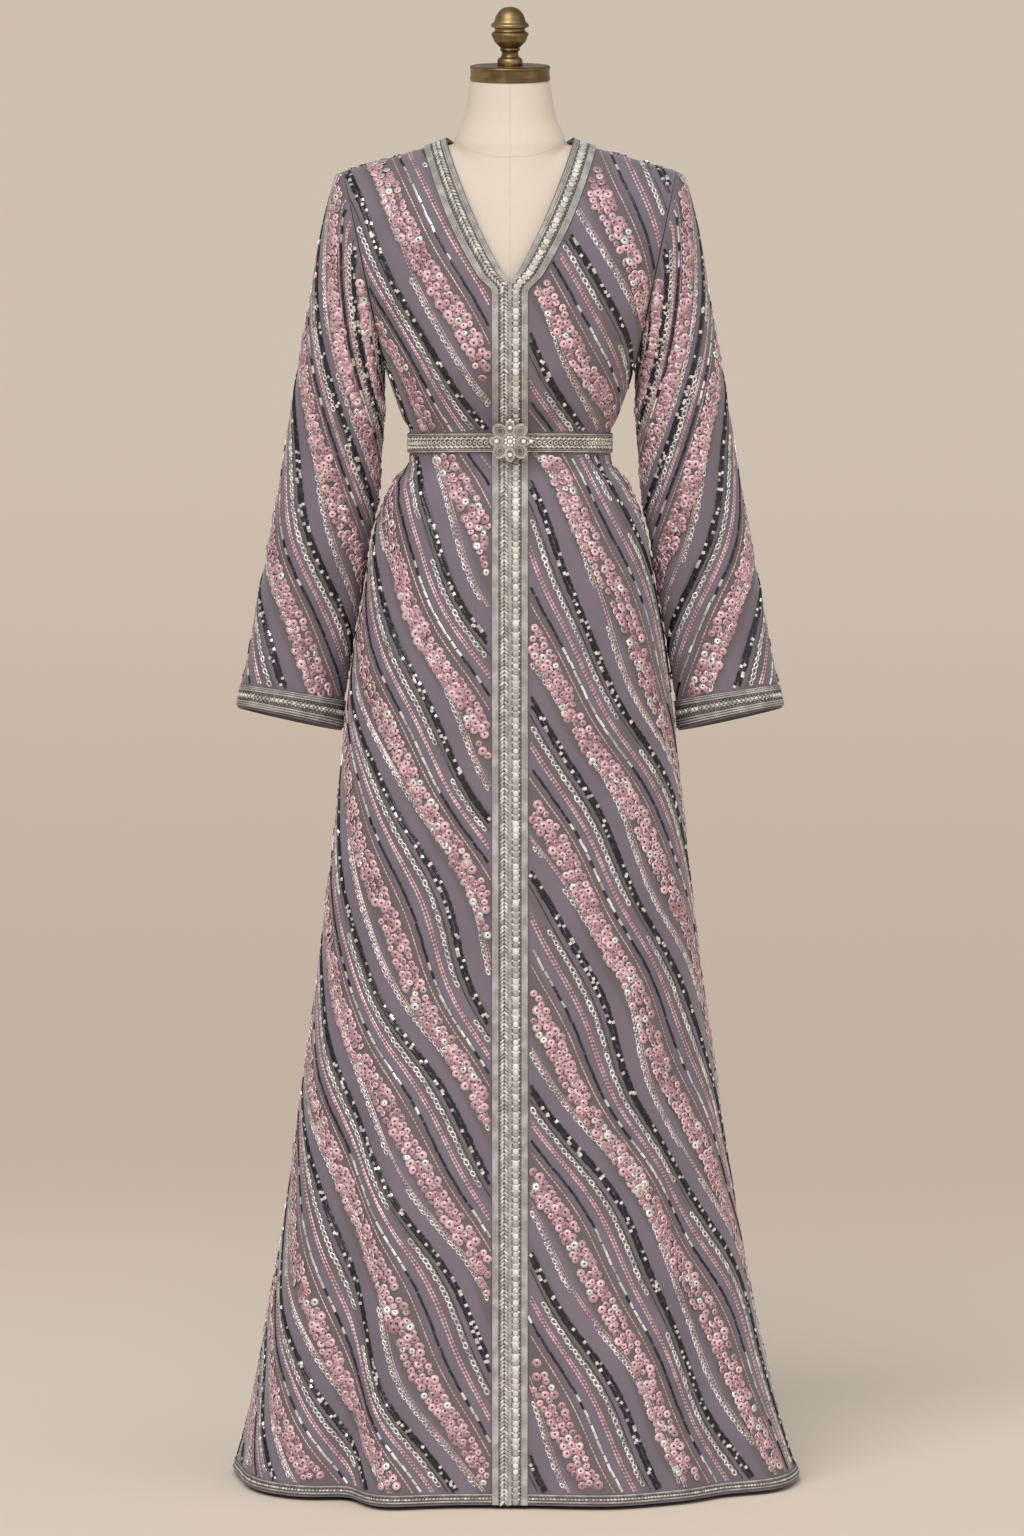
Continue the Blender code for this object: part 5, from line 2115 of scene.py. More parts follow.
def ribbon(runs: Sequence[Run], count: int, lift: float, thickness: float, closed: bool) -> Sheet:
    """A flat ribbon laid over lines that run side by side.

    Args:
        runs: The lines.
        count: Places along each of them.
        lift: Height of its outer side above them.
        thickness: Its thickness.
        closed: Whether its end meets its start.

    Returns:
        The ribbon.
    """
    rows, ups = [], []
    for run in runs:
        moved, axes = run.at(np.linspace(0.0, run.length, count), 0.0, lift)
        if closed:
            moved[-1] = moved[0]
        rows.append(moved)
        ups.append(axes[2])
    return Sheet(np.array(rows), np.array(ups), thickness, closed)


@dataclass
class Braid:
    """A sewn-on braid: a ground ribbon, coloured dark as painted shade between its lines, with cords, dotted
    lines and chains of knots on it.

    The surface gives a grid row for each share of the braid's width.
    """

    name: str
    surface: Callable[[float], Run]
    lines: Sequence[BraidLine]
    closed: bool = False
    lift: float = BRAID_LIFT
    ground: float = 0.001
    cord_step: float = 0.0046
    fine_width: float = 0.004
    finest_width: float = 0.003
    leaf_turn: float = 0.62
    ground_rows: int = 5
    ground_step: float = 0.008

    def base_ribbon(self) -> Sheet:
        """The ground of the braid.

        Returns:
            The ribbon.
        """
        runs = [self.surface(share) for share in np.linspace(0.0, 1.0, self.ground_rows)]
        count = int(runs[-1].length / self.ground_step) + 2
        return ribbon(runs, count, self.lift + self.ground, self.ground, self.closed)

    def build(self, finishes: Finishes, templates: Templates, seed: int, node: str) -> list[Piece]:
        """Makes the braid's ribbon, its cords and its knots.

        Args:
            finishes: The materials.
            templates: The small meshes.
            seed: Start of its random draws.
            node: The CAD node that it stands for.

        Returns:
            The pieces.
        """
        random = np.random.default_rng(seed)
        base = self.lift + self.ground - 0.0002
        cords, dots, knots = Cords(), Cords(), Scatter()
        for line in self.lines:
            run = self.surface(line.share)
            if line.mark is BraidMark.CORD:
                profile = round_profile(5, line.width, line.height)
                cords.add(run, self.cord_step, profile, lift=base, closed=self.closed)
            elif line.mark is BraidMark.DOTS:
                profile = round_profile(4, line.width, line.height)
                dots.add(run, self.cord_step, profile, lift=base, closed=self.closed)
            else:
                self.chain(run, line, base, knots, templates, random)
        # The ground ribbon takes the dark painted-shade colour of the gaps between the lines.
        made = [settle(self.base_ribbon().build(self.name, finishes.braid_gap_shade), Slot.BRAID, node)]
        made.append(settle(cords.build(f"{self.name}_cords", finishes.braid_cord), Slot.BRAID))
        made.append(settle(dots.build(f"{self.name}_dots", finishes.braid_dots), Slot.BRAID))
        made.append(settle(knots.build(f"{self.name}_knots", finishes.braid_knot), Slot.BRAID))
        return made

    def chain(self, run: Run, line: BraidLine, base: float, knots: Scatter,
              templates: Templates, random: np.random.Generator) -> None:
        """Lays a chain of knots or a herringbone of leaves.

        Args:
            run: Its middle line.
            line: Its sizes.
            base: Its height above the cloth.
            knots: What it is added to.
            templates: The small meshes.
            random: The random draws.
        """
        distance = run.stations(line.pitch, 0.5 * line.pitch)
        count = len(distance)
        for hand in (-1.0, 1.0) if line.mark is BraidMark.LEAVES else (0.0,):
            aside = hand * 0.46 * line.width
            centre, axes = run.at(distance, aside, base)
            axes = about_up(axes, hand * self.leaf_turn + random.uniform(-0.12, 0.12, count))
            if line.mark is BraidMark.LEAVES:
                sizes = (0.34 * line.width, 0.8 * line.width, line.height)
                template = templates.grain
            else:
                sizes = (0.72 * line.width, 0.56 * line.pitch, line.height)
                template = templates.knot if line.width > self.fine_width else templates.grain
            even = random.uniform(0.86, 1.12, (count, 1))
            size = np.array([sizes]) * even
            knots.add(template, centre, axes, size, random.random(count))
        if line.mark is BraidMark.KNOTS and line.width > self.finest_width:
            for hand in (-1.0, 1.0):
                centre, axes = run.at(distance + 0.45 * line.pitch, hand * 0.66 * line.width, base)
                size = np.tile(np.array([[0.34, 0.34, 0.0]]) * line.width, (count, 1))
                size[:, 2] = 0.75 * line.height
                knots.add(templates.grain, centre, axes, size, random.random(count))


@dataclass
class Braids:
    """Where every braid of the garment runs."""

    panels: dict[str, Panel]
    body: BodyShape
    maker: PanelMaker
    nape_lift: float = 0.0008
    seed: int = 70

    def down_front(self, hand: int) -> Callable[[float], Run]:
        """Lines of the closing braid, at shares of its width from the closing edge.

        Args:
            hand: 1 for the wearer's left and -1 for the right.

        Returns:
            A function that gives the line at a share of the width.
        """
        panel = self.panels["front_left" if hand > 0 else "front_right"]
        starts, widths, _, _ = self.maker.front_edge(hand)
        columns = np.arange(panel.points.shape[1], dtype=float)
        reach = np.abs(panel.points[..., 0])
        rows = np.arange(len(starts), dtype=float)

        def line(share: float) -> Run:
            """The line at one share of the width.

            Args:
                share: The share.

            Returns:
                The line.
            """
            spread = (widths - FRONT_TRIM_WIDTH) * min(share / NECK_CORD_SHARE, 1.0)
            wanted = starts + share * FRONT_TRIM_WIDTH + spread
            places = np.array([np.interp(w, x, columns) for w, x in zip(wanted, reach)])
            points = panel.sample(panel.points, rows, places)
            points[:, 0] = hand * wanted
            return Run(points, unit(panel.sample(panel.normals, rows, places)))

        return line

    def round_hem(self, name: str) -> Callable[[float], Run]:
        """Lines of a hem braid, at shares of its height from its lower edge.

        Args:
            name: The panel's name.

        Returns:
            A function that gives the line at a share of the height.
        """
        panel = self.panels[name]
        rows = np.arange(30, dtype=float)
        low = HEM_Z + HEM_TRIM_START
        reach = np.abs(panel.points[0, :, 0])
        clear = 0.0 if name == "back" else FRONT_TRIM_WIDTH + 2.0 * SEAM_GAP
        columns = np.arange(panel.points.shape[1], dtype=float)
        if name != "back":
            first = float(np.interp(clear, reach, columns))
            columns = np.linspace(first, columns[-1], len(columns))

        def line(share: float) -> Run:
            """The line at one share of the height.

            Args:
                share: The share.

            Returns:
                The line.
            """
            height = low + share * HEM_TRIM_HEIGHT
            row = float(np.interp(height, panel.points[:30, 0, 2], rows))
            points = panel.sample(panel.points, np.full(len(columns), row), columns)
            normals = panel.sample(panel.normals, np.full(len(columns), row), columns)
            return Run(points, unit(normals))

        return line

    def round_cuff(self, hand: int) -> Callable[[float], Run]:
        """Lines of a cuff braid, at shares of its height from its upper edge.

        Args:
            hand: 1 for the wearer's left and -1 for the right.

        Returns:
            A function that gives the line at a share of the height.
        """
        shape = SleeveShape(hand)
        angles = np.linspace(-math.pi, math.pi, 181)

        def line(share: float) -> Run:
            """The line at one share of the height.

            Args:
                share: The share.

            Returns:
                The line.
            """
            row = CUFF_START_ROW + share * (CUFF_END_ROW - CUFF_START_ROW)
            points = shape.points(angles, row)
            middle = points[:-1].mean(axis=0)
            slope = shape.points(angles, row + 0.02) - points
            ahead = np.gradient(points, axis=0)
            ahead[0] = ahead[-1] = points[1] - points[-2]
            normals = unit(np.cross(ahead, slope))
            outward = np.sum(normals * (points - middle), axis=-1)
            return Run(points, normals * np.sign(outward)[:, None])

        return line

    def round_nape(self) -> Callable[[float], Run]:
        """Lines of the braid at the nape, at shares of its width from the neckline.

        Returns:
            A function that gives the line at a share of the width.
        """
        depth = self.body.top_depth(1)
        share = np.sin(np.linspace(-QUARTER_TURN, QUARTER_TURN, 61))
        x = share * NECK_HALF_WIDTH

        def surface(across: Array, tilt: Array) -> Array:
            """Points of the back at distances from the centre.

            Args:
                across: The distances.
                tilt: Their tilts.

            Returns:
                The points.
            """
            half, _ = self.body.armhole_reach(np.sin(tilt), depth)
            angle = np.sign(across) * self.body.angle_at(np.abs(across), half)
            return self.body.yoke(angle, tilt, 1)

        def past_edge(tilt: Array) -> Array:
            """How far the neckline lies behind the surface."""
            inside = np.sqrt(np.maximum(1.0 - share**2, 0.0))
            return NAPE_DEPTH * inside - (surface(x, tilt)[:, 1] - SIDE_Y)

        edge_tilt = rising_root(past_edge, np.zeros(len(x)), np.full(len(x), QUARTER_TURN))
        edge = surface(x, edge_tilt)

        def line(part: float) -> Run:
            """The line at one share of the width.

            Args:
                part: The share.

            Returns:
                The line.
            """
            away = (NAPE_TRIM_WIDTH + (NECK_TRIM_WIDTH - NAPE_TRIM_WIDTH) * np.abs(share)) * part
            out_x = x + away * share

            def too_near(lower: Array) -> Array:
                """How much further than the width the line lies."""
                return np.linalg.norm(surface(out_x, edge_tilt - lower) - edge, axis=-1) - away

            lower = rising_root(too_near, np.zeros(len(x)), 0.9 * edge_tilt)
            lower = np.where((np.abs(share) > 0.999) | (part == 0.0), 0.0, lower)
            tilt = edge_tilt - lower
            points = surface(out_x, tilt)
            step = 1e-3
            over = surface(out_x, np.minimum(tilt + step, QUARTER_TURN)) - surface(out_x, tilt - step)
            aside = surface(out_x + step, tilt) - surface(out_x - step, tilt)
            normals = unit(np.cross(over, aside))
            normals = normals * np.where(normals[:, 2] < 0.0, -1.0, 1.0)[:, None]
            flat = np.abs(share) > 0.999
            normals[flat, 1] = 0.0
            return Run(points, unit(normals))

        return line

    def build(self, finishes: Finishes, templates: Templates) -> dict[str, list[Piece]]:
        """Makes all the braids.

        Args:
            finishes: The materials.
            templates: The small meshes.

        Returns:
            The pieces that go with each panel.
        """
        made: dict[str, list[Piece]] = {name: [] for name in self.panels}
        plans = (
            ("front_trim_right", "front_right", self.down_front(-1), LEAF_LINES, False),
            ("front_trim_left", "front_left", self.down_front(1), CLOSING_LINES, False),
            ("hem_trim_right", "front_right", self.round_hem("front_right"), NARROW_LINES, False),
            ("hem_trim_left", "front_left", self.round_hem("front_left"), NARROW_LINES, False),
            ("hem_trim_back", "back", self.round_hem("back"), NARROW_LINES, False),
            ("cuff_trim_right", "sleeve_right", self.round_cuff(-1), CUFF_LINES, True),
            ("cuff_trim_left", "sleeve_left", self.round_cuff(1), CUFF_LINES, True),
            ("nape_trim", "back", self.round_nape(), LEAF_LINES, False),
        )
        for seed, (node, panel, surface, lines, closed) in enumerate(plans):
            lift = self.nape_lift if node == "nape_trim" else BRAID_LIFT
            braid = Braid(node.replace("trim", "braid"), surface, lines, closed, lift)
            made[panel].extend(braid.build(finishes, templates, self.seed + seed, node))
        return made


@dataclass
class Belt:
    """The woven metal belt, which the rosette fastens."""

    body: BodyShape
    ground: float = 0.0013
    over_trim: float = 0.0025
    columns: int = 260
    leaf_pitch: float = 0.0062
    leaf_row: float = 0.0046
    rim_step: float = 0.004
    seed: int = 41
    rims: tuple = ((-0.46, 0.0008), (-0.37, 0.0005), (0.37, 0.0005), (0.46, 0.0008))

    def middle(self, angle: Array) -> Array:
        """Height of the belt's middle line."""
        return WAIST_Z + BELT_FRONT_RISE * np.maximum(np.cos(angle), 0.0)

    def ring(self, height: float) -> Run:
        """A line round the belt's inner face.

        Args:
            height: Share of the belt's height, from -0.5 to 0.5.

        Returns:
            The closed line, with level normals.
        """
        angle = np.linspace(-math.pi, math.pi, 721)
        z = self.middle(angle) + height * BELT_HEIGHT
        points = self.body.skirt(angle, z)
        ahead = np.gradient(points, axis=0)
        ahead[0] = ahead[-1] = points[1] - points[-2]
        ahead[:, 2] = 0.0
        normals = unit(np.cross(ahead, np.array([0.0, 0.0, 1.0])))
        level = points - np.array([0.0, SIDE_Y, 0.0])
        normals = normals * np.sign(np.sum(normals * level * [1.0, 1.0, 0.0], axis=-1))[:, None]
        near_front = np.abs(points[:, 0]) + 1000.0 * (points[:, 1] > 0.0)
        rise = np.clip((FRONT_TRIM_WIDTH + 0.003 - near_front) / 0.003, 0.0, 1.0)
        points = points + normals * (BELT_LIFT + self.over_trim * rise)[:, None]
        points[-1] = points[0]
        return Run(points, normals)

    def build(self, finishes: Finishes, templates: Templates) -> None:
        """Makes the belt.

        Args:
            finishes: The materials.
            templates: The small meshes.
        """
        runs = [self.ring(share) for share in np.linspace(-0.5, 0.5, 5)]
        band = ribbon(runs, self.columns, self.ground, self.ground, True)
        # The band under the filigree is coloured dark as painted shade in its gaps.
        settle(band.build("belt_band", finishes.belt_gap_shade), Slot.BELT, "belt")
        rims = Cords()
        top = self.ground - 0.0003
        for share, half in self.rims:
            profile = round_profile(5, half, 0.0016)
            rims.add(self.ring(share), self.rim_step, profile, lift=top, closed=True)
        settle(rims.build("belt_rims", finishes.belt_cord), Slot.BELT)
        settle(self.leaves(templates, top).build("belt_filigree", finishes.filigree), Slot.BELT)

    def leaves(self, templates: Templates, top: float) -> Scatter:
        """Slanting leaves and small rings that fill the belt between its rims.

        Args:
            templates: The small meshes.
            top: Their height above the belt's inner face.

        Returns:
            The leaves and rings.
        """
        random = np.random.default_rng(self.seed)
        middle, lattice = self.ring(0.0), Scatter()
        distance = middle.stations(self.leaf_pitch, 0.5 * self.leaf_pitch)
        count = len(distance)
        for row in range(-1, 2):
            aside = row * self.leaf_row
            start = distance + 0.5 * self.leaf_pitch * (row % 2)
            centre, axes = middle.at(start % middle.length, aside, top)
            turn = (0.75 if row < 0 else -0.75) + random.uniform(-0.25, 0.25, count)
            even = random.uniform(0.85, 1.15, (count, 1))
            sizes = (0.0015, 0.0031, 0.0014) if row else (0.0027, 0.0027, 0.0013)
            template = templates.grain if row else templates.loop
            size = np.array([sizes]) * even
            lattice.add(template, centre, about_up(axes, turn), size, random.random(count))
            if row:
                centre, _ = middle.at((start + 0.5 * self.leaf_pitch) % middle.length, aside, top)
                size = np.array([(0.0008, 0.0024, 0.0011)]) * even
                bent = about_up(axes, -turn * 0.5)
                lattice.add(templates.grain, centre, bent, size, random.random(count))
        return lattice


@dataclass
class Rosette:
    """The lobed filigree rosette on its hub; it faces -Y in front of the belt."""

    centre_z: float
    back_y: float
    radius: float = 0.0238
    lobes: int = 8
    lobe_share: float = 0.07
    hub_height: float = 0.0062
    plate_wall: float = 0.0026
    wire_step: float = 0.0012
    grain_rings: tuple = ((22, 0.89), (12, 0.6))
    profile: tuple = (
        (0.0, 0.0), (0.5, 0.0), (0.5, 1.0), (0.97, 1.0), (1.0, 1.12), (0.985, 1.28),
        (0.94, 1.36), (0.8, 1.37), (0.6, 1.38), (0.4, 1.4), (0.2, 1.42), (0.0, 1.43),
    )

    def front_y(self, share: Array, angle: Array) -> Array:
        """Depth of the plate's front.

        Args:
            share: Share of its radius.
            angle: Direction from straight up.

        Returns:
            The Y of each place.
        """
        dome = 0.0011 * np.cos(np.clip(share, 0.0, 1.0) * QUARTER_TURN)
        petals = 0.0006 * np.sin(math.pi * np.clip(share, 0.0, 1.0)) * np.cos(self.lobes * angle)
        return self.back_y - self.hub_height - self.plate_wall - dome - petals

    def place(self, radius: Array, angle: Array) -> Array:
        """Points of the plate's front, at radii and angles from straight up."""
        x, z = radius * np.sin(angle), self.centre_z + radius * np.cos(angle)
        return np.stack([x, self.front_y(radius / self.radius, angle), z], axis=-1)

    def spots(self, out: Array, aside: Array, angle: float) -> Array:
        """Points of the plate's front, measured along one direction.

        Args:
            out: Distances from the middle, along the direction.
            aside: Distances across it.
            angle: The direction, from straight up.

        Returns:
            The points.
        """
        x = out * math.sin(angle) + aside * math.cos(angle)
        z = out * math.cos(angle) - aside * math.sin(angle)
        return self.place(np.hypot(x, z), np.arctan2(x, z))

    def plate(self) -> BMesh:
        """The ground of the rosette and its hub, as one turned and lobed form.

        Returns:
            The bmesh.
        """
        builder = spun(self.profile, 96)
        for vert in builder.verts:
            share = math.hypot(vert.co.x, vert.co.y)
            angle = math.atan2(vert.co.x, vert.co.y)
            lobe = 1.0 + self.lobe_share * math.cos(self.lobes * angle) * share**2
            radius = self.radius * share * lobe
            depth = vert.co.z * self.hub_height
            if vert.co.z > 1.3:
                depth = self.back_y - float(self.front_y(share, angle))
            height = self.centre_z + radius * math.cos(angle)
            vert.co = (radius * math.sin(angle), self.back_y - depth, height)
        bmesh.ops.recalc_face_normals(builder, faces=builder.faces)
        return builder

    def wire(self, wires: Cords, radius: float, angle: float, sizes: tuple[float, float],
             section: tuple[float, float], scallop: float) -> None:
        """Lays a closed oval wire on the plate.

        Args:
            wires: What it is added to.
            radius: Where the oval's middle is.
            angle: Its direction from straight up.
            sizes: Half its length, outwards, and half its width.
            section: Half width and height of the wire.
            scallop: Depth of the scallops of its edge.
        """
        turn = np.linspace(0.0, FULL_TURN, 73)
        wave = 1.0 + scallop * np.abs(np.sin(6.0 * turn))
        out = radius + sizes[0] * wave * np.cos(turn)
        points = self.spots(out, sizes[1] * wave * np.sin(turn), angle)
        points[-1] = points[0]
        run = Run(points, np.tile(FACING[2], (len(points), 1)))
        wires.add(run, self.wire_step, round_profile(5, *section), lift=-0.0003, closed=True)

    def stud(self, kept: Scatter, template: Template, centre: Array, size: Sequence[float],
             tone: Array) -> None:
        """Sets small pieces on the plate, facing forwards.

        Args:
            kept: What they are added to.
            template: The small mesh.
            centre: Where each one stands.
            size: Their half width, half height and depth.
            tone: Their shades, from 0 to 1.
        """
        axes = [np.tile(axis, (len(centre), 1)) for axis in FACING]
        kept.add(template, centre, axes, np.tile(size, (len(centre), 1)), tone)

    def build(self, finishes: Finishes, templates: Templates) -> None:
        """Makes the plate, the filigree and the white beads.

        Args:
            finishes: The materials.
            templates: The small meshes.
        """
        # The plate is coloured dark as painted shade between the rosette's wires.
        plate = object_from("rosette_plate", self.plate(), finishes.belt_gap_shade, 35.0)
        settle(plate, Slot.BELT, "belt_rosette")
        wires, grains, beads = Cords(), Scatter(), Scatter()
        spots = []
        for k in range(self.lobes):
            angle = FULL_TURN * k / self.lobes
            diagonal = k % 2 == 1
            long, wide = (0.0082, 0.0068) if diagonal else (0.0076, 0.0048)
            middle = 0.0158 if diagonal else 0.015
            for share, half, scallop in ((1.0, 0.00075, 0.06), (0.78, 0.0005, 0.0), (0.42, 0.0005, 0.0)):
                if diagonal or share > 0.5:
                    sizes = (long * share, wide * share)
                    self.wire(wires, middle, angle, sizes, (half, 0.0014), scallop)
            self.petal(grains, templates.grain, middle, angle, (long, wide))
            if not diagonal:
                spots.append((middle + 0.0002, angle, 0.0026, 0.0002, 0.9))
        for radius, half in ((0.0078, 0.0006), (0.0066, 0.0004)):
            self.wire(wires, 0.0, 0.0, (radius, radius), (half, 0.0013), 0.05)
        spots.append((0.0, 0.0, 0.0028, 0.0004, 1.0))
        spots.extend((0.0049, FULL_TURN * (k + 0.5) / 8, 0.0018, 0.0002, 0.7 + 0.04 * k) for k in range(8))
        spots.append((0.0236, 0.0, 0.0017, 0.0, 1.0))
        spots.extend((0.0222, 0.16 * side, 0.0013, 0.0, 0.8) for side in (-1.0, 1.0))
        spots.append((0.0236, QUARTER_TURN, 0.0023, 0.0, 0.95))
        for radius, angle, size, lift, tone in spots:
            centre = self.place(np.array([radius]), np.array([angle]))
            centre[:, 1] -= lift
            self.stud(beads, templates.knot, centre, (size, size, 1.5 * size), np.array([tone]))
        settle(wires.build("rosette_wire", finishes.belt_cord), Slot.BELT)
        settle(grains.build("rosette_grains", finishes.filigree), Slot.BELT)
        settle(beads.build("rosette_beads", finishes.pearl), Slot.BELT)

    def petal(self, grains: Scatter, grain: Template, middle: float, angle: float,
              sizes: tuple[float, float]) -> None:
        """Sets rings of grains in one petal.

        Args:
            grains: What they are added to.
            grain: The small mesh.
            middle: Distance of the petal's middle from the rosette's.
            angle: Its direction from straight up.
            sizes: Half its length and half its width.
        """
        turns = [FULL_TURN * np.arange(count) / count for count, _ in self.grain_rings]
        rings = list(zip(turns, (share for _, share in self.grain_rings)))
        out = np.concatenate([middle + share * sizes[0] * np.cos(turn) for turn, share in rings])
        aside = np.concatenate([share * sizes[1] * np.sin(turn) for turn, share in rings])
        centre = self.spots(out, aside, angle)
        tone = 0.5 + 0.5 * np.sin(3.7 * np.arange(len(centre)))
        self.stud(grains, grain, centre, (0.00062, 0.00062, 0.0009), tone)


@dataclass
class DressForm:
    """The limbless dress form with its linen cover."""

    body: BodyShape
    sides: int = 104
    shoulder_drop: float = 0.0058
    neck_rise: float = 0.05
    plate_inset: float = 0.004
    blend: float = 0.011
    throat_blend: float = 0.03
    cloth_room: float = 0.0045

    def torso_reach(self, angle: Array, z: Array) -> Array:
        """How far the torso reaches from its axis, above the armpits.

        Args:
            angle: Angles round the axis.
            z: Heights.

        Returns:
            The distances.
        """
        depth = np.where(np.cos(angle) >= 0.0, FORM_ROWS[-1][2], FORM_ROWS[-1][3])
        plate = ARMPIT_X + (SHOULDER_TIP_X - ARMPIT_X) * (z - ARMPIT_Z) / (SHOULDER_TIP_Z - ARMPIT_Z)

        def outside(reach: Array) -> Array:
            """Whether a reach lies outside the torso, as a rising value.

            Args:
                reach: The reaches.

            Returns:
                The value, below zero inside.
            """
            x, out = np.abs(reach * np.sin(angle)), np.abs(reach * np.cos(angle))
            ridge = self.body.shoulder_line(np.maximum(x, NECK_HALF_WIDTH)) - self.shoulder_drop
            ridge = ridge + self.neck_rise * np.maximum(NECK_HALF_WIDTH - x, 0.0)
            lift = (z - ARMPIT_Z) / (ridge - ARMPIT_Z)
            safe = np.clip(lift, 0.0, 1.0)
            half, _ = self.body.armhole_reach(safe, BODY_ROWS[-1][3])
            half = half - self.cloth_room
            inside = np.clip(1.0 - (x / half) ** SECTION_POWER, 0.0, 1.0)
            shape = inside ** (1.0 / SECTION_POWER)
            past = (lift >= 1.0) | (x >= plate - self.plate_inset) | (x >= half)
            return np.where(past, 1.0, out - depth * shape * np.sqrt(1.0 - safe**2))

        return rising_root(outside, np.zeros(angle.shape), np.full(angle.shape, 0.25))

    def points(self, angle: Array, z: Array) -> Array:
        """Points of the form's surface.

        Args:
            angle: Angles round the form.
            z: Heights.

        Returns:
            The points.
        """
        angle, z = np.broadcast_arrays(np.asarray(angle, float), np.asarray(z, float))
        torso = RowTable.keyed(FORM_ROWS).read(z)
        depth = np.where(np.cos(angle) >= 0.0, torso[..., 1], torso[..., 2])
        across = signed_power(np.sin(angle), 2.0 / SECTION_POWER)
        along = signed_power(np.cos(angle), 2.0 / SECTION_POWER)
        low = np.stack([torso[..., 0] * across, SIDE_Y - depth * along, z], axis=-1)
        neck = RowTable.keyed(NECK_ROWS).read(z)
        top = FORM_ROWS[-1]
        top_depth = np.where(np.cos(angle) >= 0.0, top[2], top[3])
        polar = np.arctan2(top[1] * across, top_depth * along)
        reach = self.torso_reach(polar, np.maximum(z, ARMPIT_Z + 1e-4))
        oval = np.hypot(np.sin(polar) / neck[..., 0], np.cos(polar) / (neck[..., 0] * neck[..., 1]))
        neck_reach = 1.0 / oval
        blend = self.blend + self.throat_blend * np.maximum(np.cos(angle), 0.0) ** 4
        near = np.maximum(blend - np.abs(reach - neck_reach), 0.0) / blend
        both = np.maximum(reach, neck_reach) + near**2 * blend / 4.0
        share = np.clip((z - NECK_ROWS[0][0]) / (NECK_ROWS[2][0] - NECK_ROWS[0][0]), 0.0, 1.0)
        centre = SIDE_Y + (neck[..., 2] - SIDE_Y) * share
        high = np.stack([both * np.sin(polar), centre - both * np.cos(polar), z], axis=-1)
        return np.where((z > ARMPIT_Z)[..., None], high, low)

    def heights(self) -> Array:
        """Heights of the rings, closer together over the shoulders.

        Returns:
            The heights.
        """
        top = NECK_ROWS[-1][0]
        low = np.linspace(FORM_ROWS[0][0], ARMPIT_Z, 44)
        middle = np.linspace(ARMPIT_Z, 1.46, 24)[1:]
        shoulder = np.linspace(1.46, 1.545, 36)[1:]
        return np.concatenate([low, middle, shoulder, np.linspace(1.545, top, 12)[1:]])

    def build(self, finishes: Finishes) -> None:
        """Makes the form and the fine seam lines of its cover.

        Args:
            finishes: The materials.
        """
        z = self.heights()
        angle = np.linspace(-math.pi, math.pi, self.sides + 1)
        points = self.points(angle[None, :], z[:, None])
        points[:, -1] = points[:, 0]
        axis = np.array([0.0, SIDE_Y, 0.0])
        ends = []
        for ring, rise in ((points[0], 0.0015), (points[-1], -0.0015)):
            flat = ring * [0.0, 0.0, 1.0] + axis
            ends.append([flat + (ring - flat) * share for share in (0.0, 0.5, 0.985)])
            ends[-1].append(ring + [0.0, 0.0, rise])
        stack = np.concatenate([np.array(ends[0]), points[1:-1], np.array(ends[1][::-1])])
        builder = gridded(stack, True)
        bmesh.ops.recalc_face_normals(builder, faces=builder.faces)
        settle(object_from("form_cover", builder, finishes.linen, 50.0), Slot.FORM, "dress_form")
        seams = Cords()
        profile = round_profile(3, 0.00035, 0.0004)
        for turn in (0.0, math.pi):
            heights = np.linspace(0.94, 1.5885, 170)
            seams.add(self.line(np.full(170, turn), heights), 0.004, profile, lift=-0.0001)
        around = np.linspace(-math.pi, math.pi, 181)
        seams.add(self.line(around, self.neck_seam(around)), 0.004, profile, lift=-0.0001, closed=True)
        settle(seams.build("form_seams", finishes.seam), Slot.FORM)

    def neck_seam(self, angle: Array) -> Array:
        """Height of the seam at the base of the neck."""
        return 1.5285 - 0.0195 * np.maximum(np.cos(angle), 0.0) ** 1.5

    def line(self, angle: Array, z: Array) -> Run:
        """A line on the form's surface.

        Args:
            angle: Angles round the form.
            z: Heights.

        Returns:
            The line.
        """
        points = self.points(angle, z)
        step = 2e-3
        up = self.points(angle, z + step) - self.points(angle, z - step)
        aside = self.points(angle + step, z) - self.points(angle - step, z)
        normals = unit(np.cross(up, aside))
        outward = np.sum(normals * (points - [0.0, SIDE_Y, 0.0]) * [1.0, 1.0, 0.0], axis=-1)
        return Run(points, normals * np.where(outward < 0.0, -1.0, 1.0)[:, None])


@dataclass
class Brass:
    """The turned cap on the form's neck and the finial on it."""

    sides: int = 60

    def turned(self, name: str, profile: Sequence[tuple[float, float]], bottom: float,
               finish: Material) -> Piece:
        """A turned piece, its profile drawn as a smooth curve between its points.

        Args:
            name: The object's name.
            profile: Radius and height of its points.
            bottom: Height of its underside.
            finish: Its material.

        Returns:
            The object.
        """
        path = np.array(profile)
        along = walked(path, 0)
        between = np.linspace(0.0, along[-1], 3 * len(path))[1:-1]
        kept = np.concatenate([path, RowTable(along, path).read(between)])
        order = np.argsort(np.concatenate([along, between]))
        pairs = [(float(max(radius, 0.0)), bottom + float(height)) for radius, height in kept[order]]
        builder = spun(pairs, self.sides)
        bmesh.ops.remove_doubles(builder, verts=builder.verts, dist=1e-5)
        bmesh.ops.recalc_face_normals(builder, faces=builder.faces)
        return object_from(name, builder, finish, 42.0)

    def build(self, finishes: Finishes) -> None:
        """Makes the cap and the finial.

        Args:
            finishes: The materials.
        """
        cap = self.turned("brass_cap", CAP_PROFILE, CAP_BOTTOM_Z, finishes.brass)
        settle(cap, Slot.BRASS, "neck_cap")
        finial = self.turned("brass_finial", FINIAL_PROFILE, FINIAL_BOTTOM_Z, finishes.brass)
        settle(finial, Slot.BRASS, "finial")


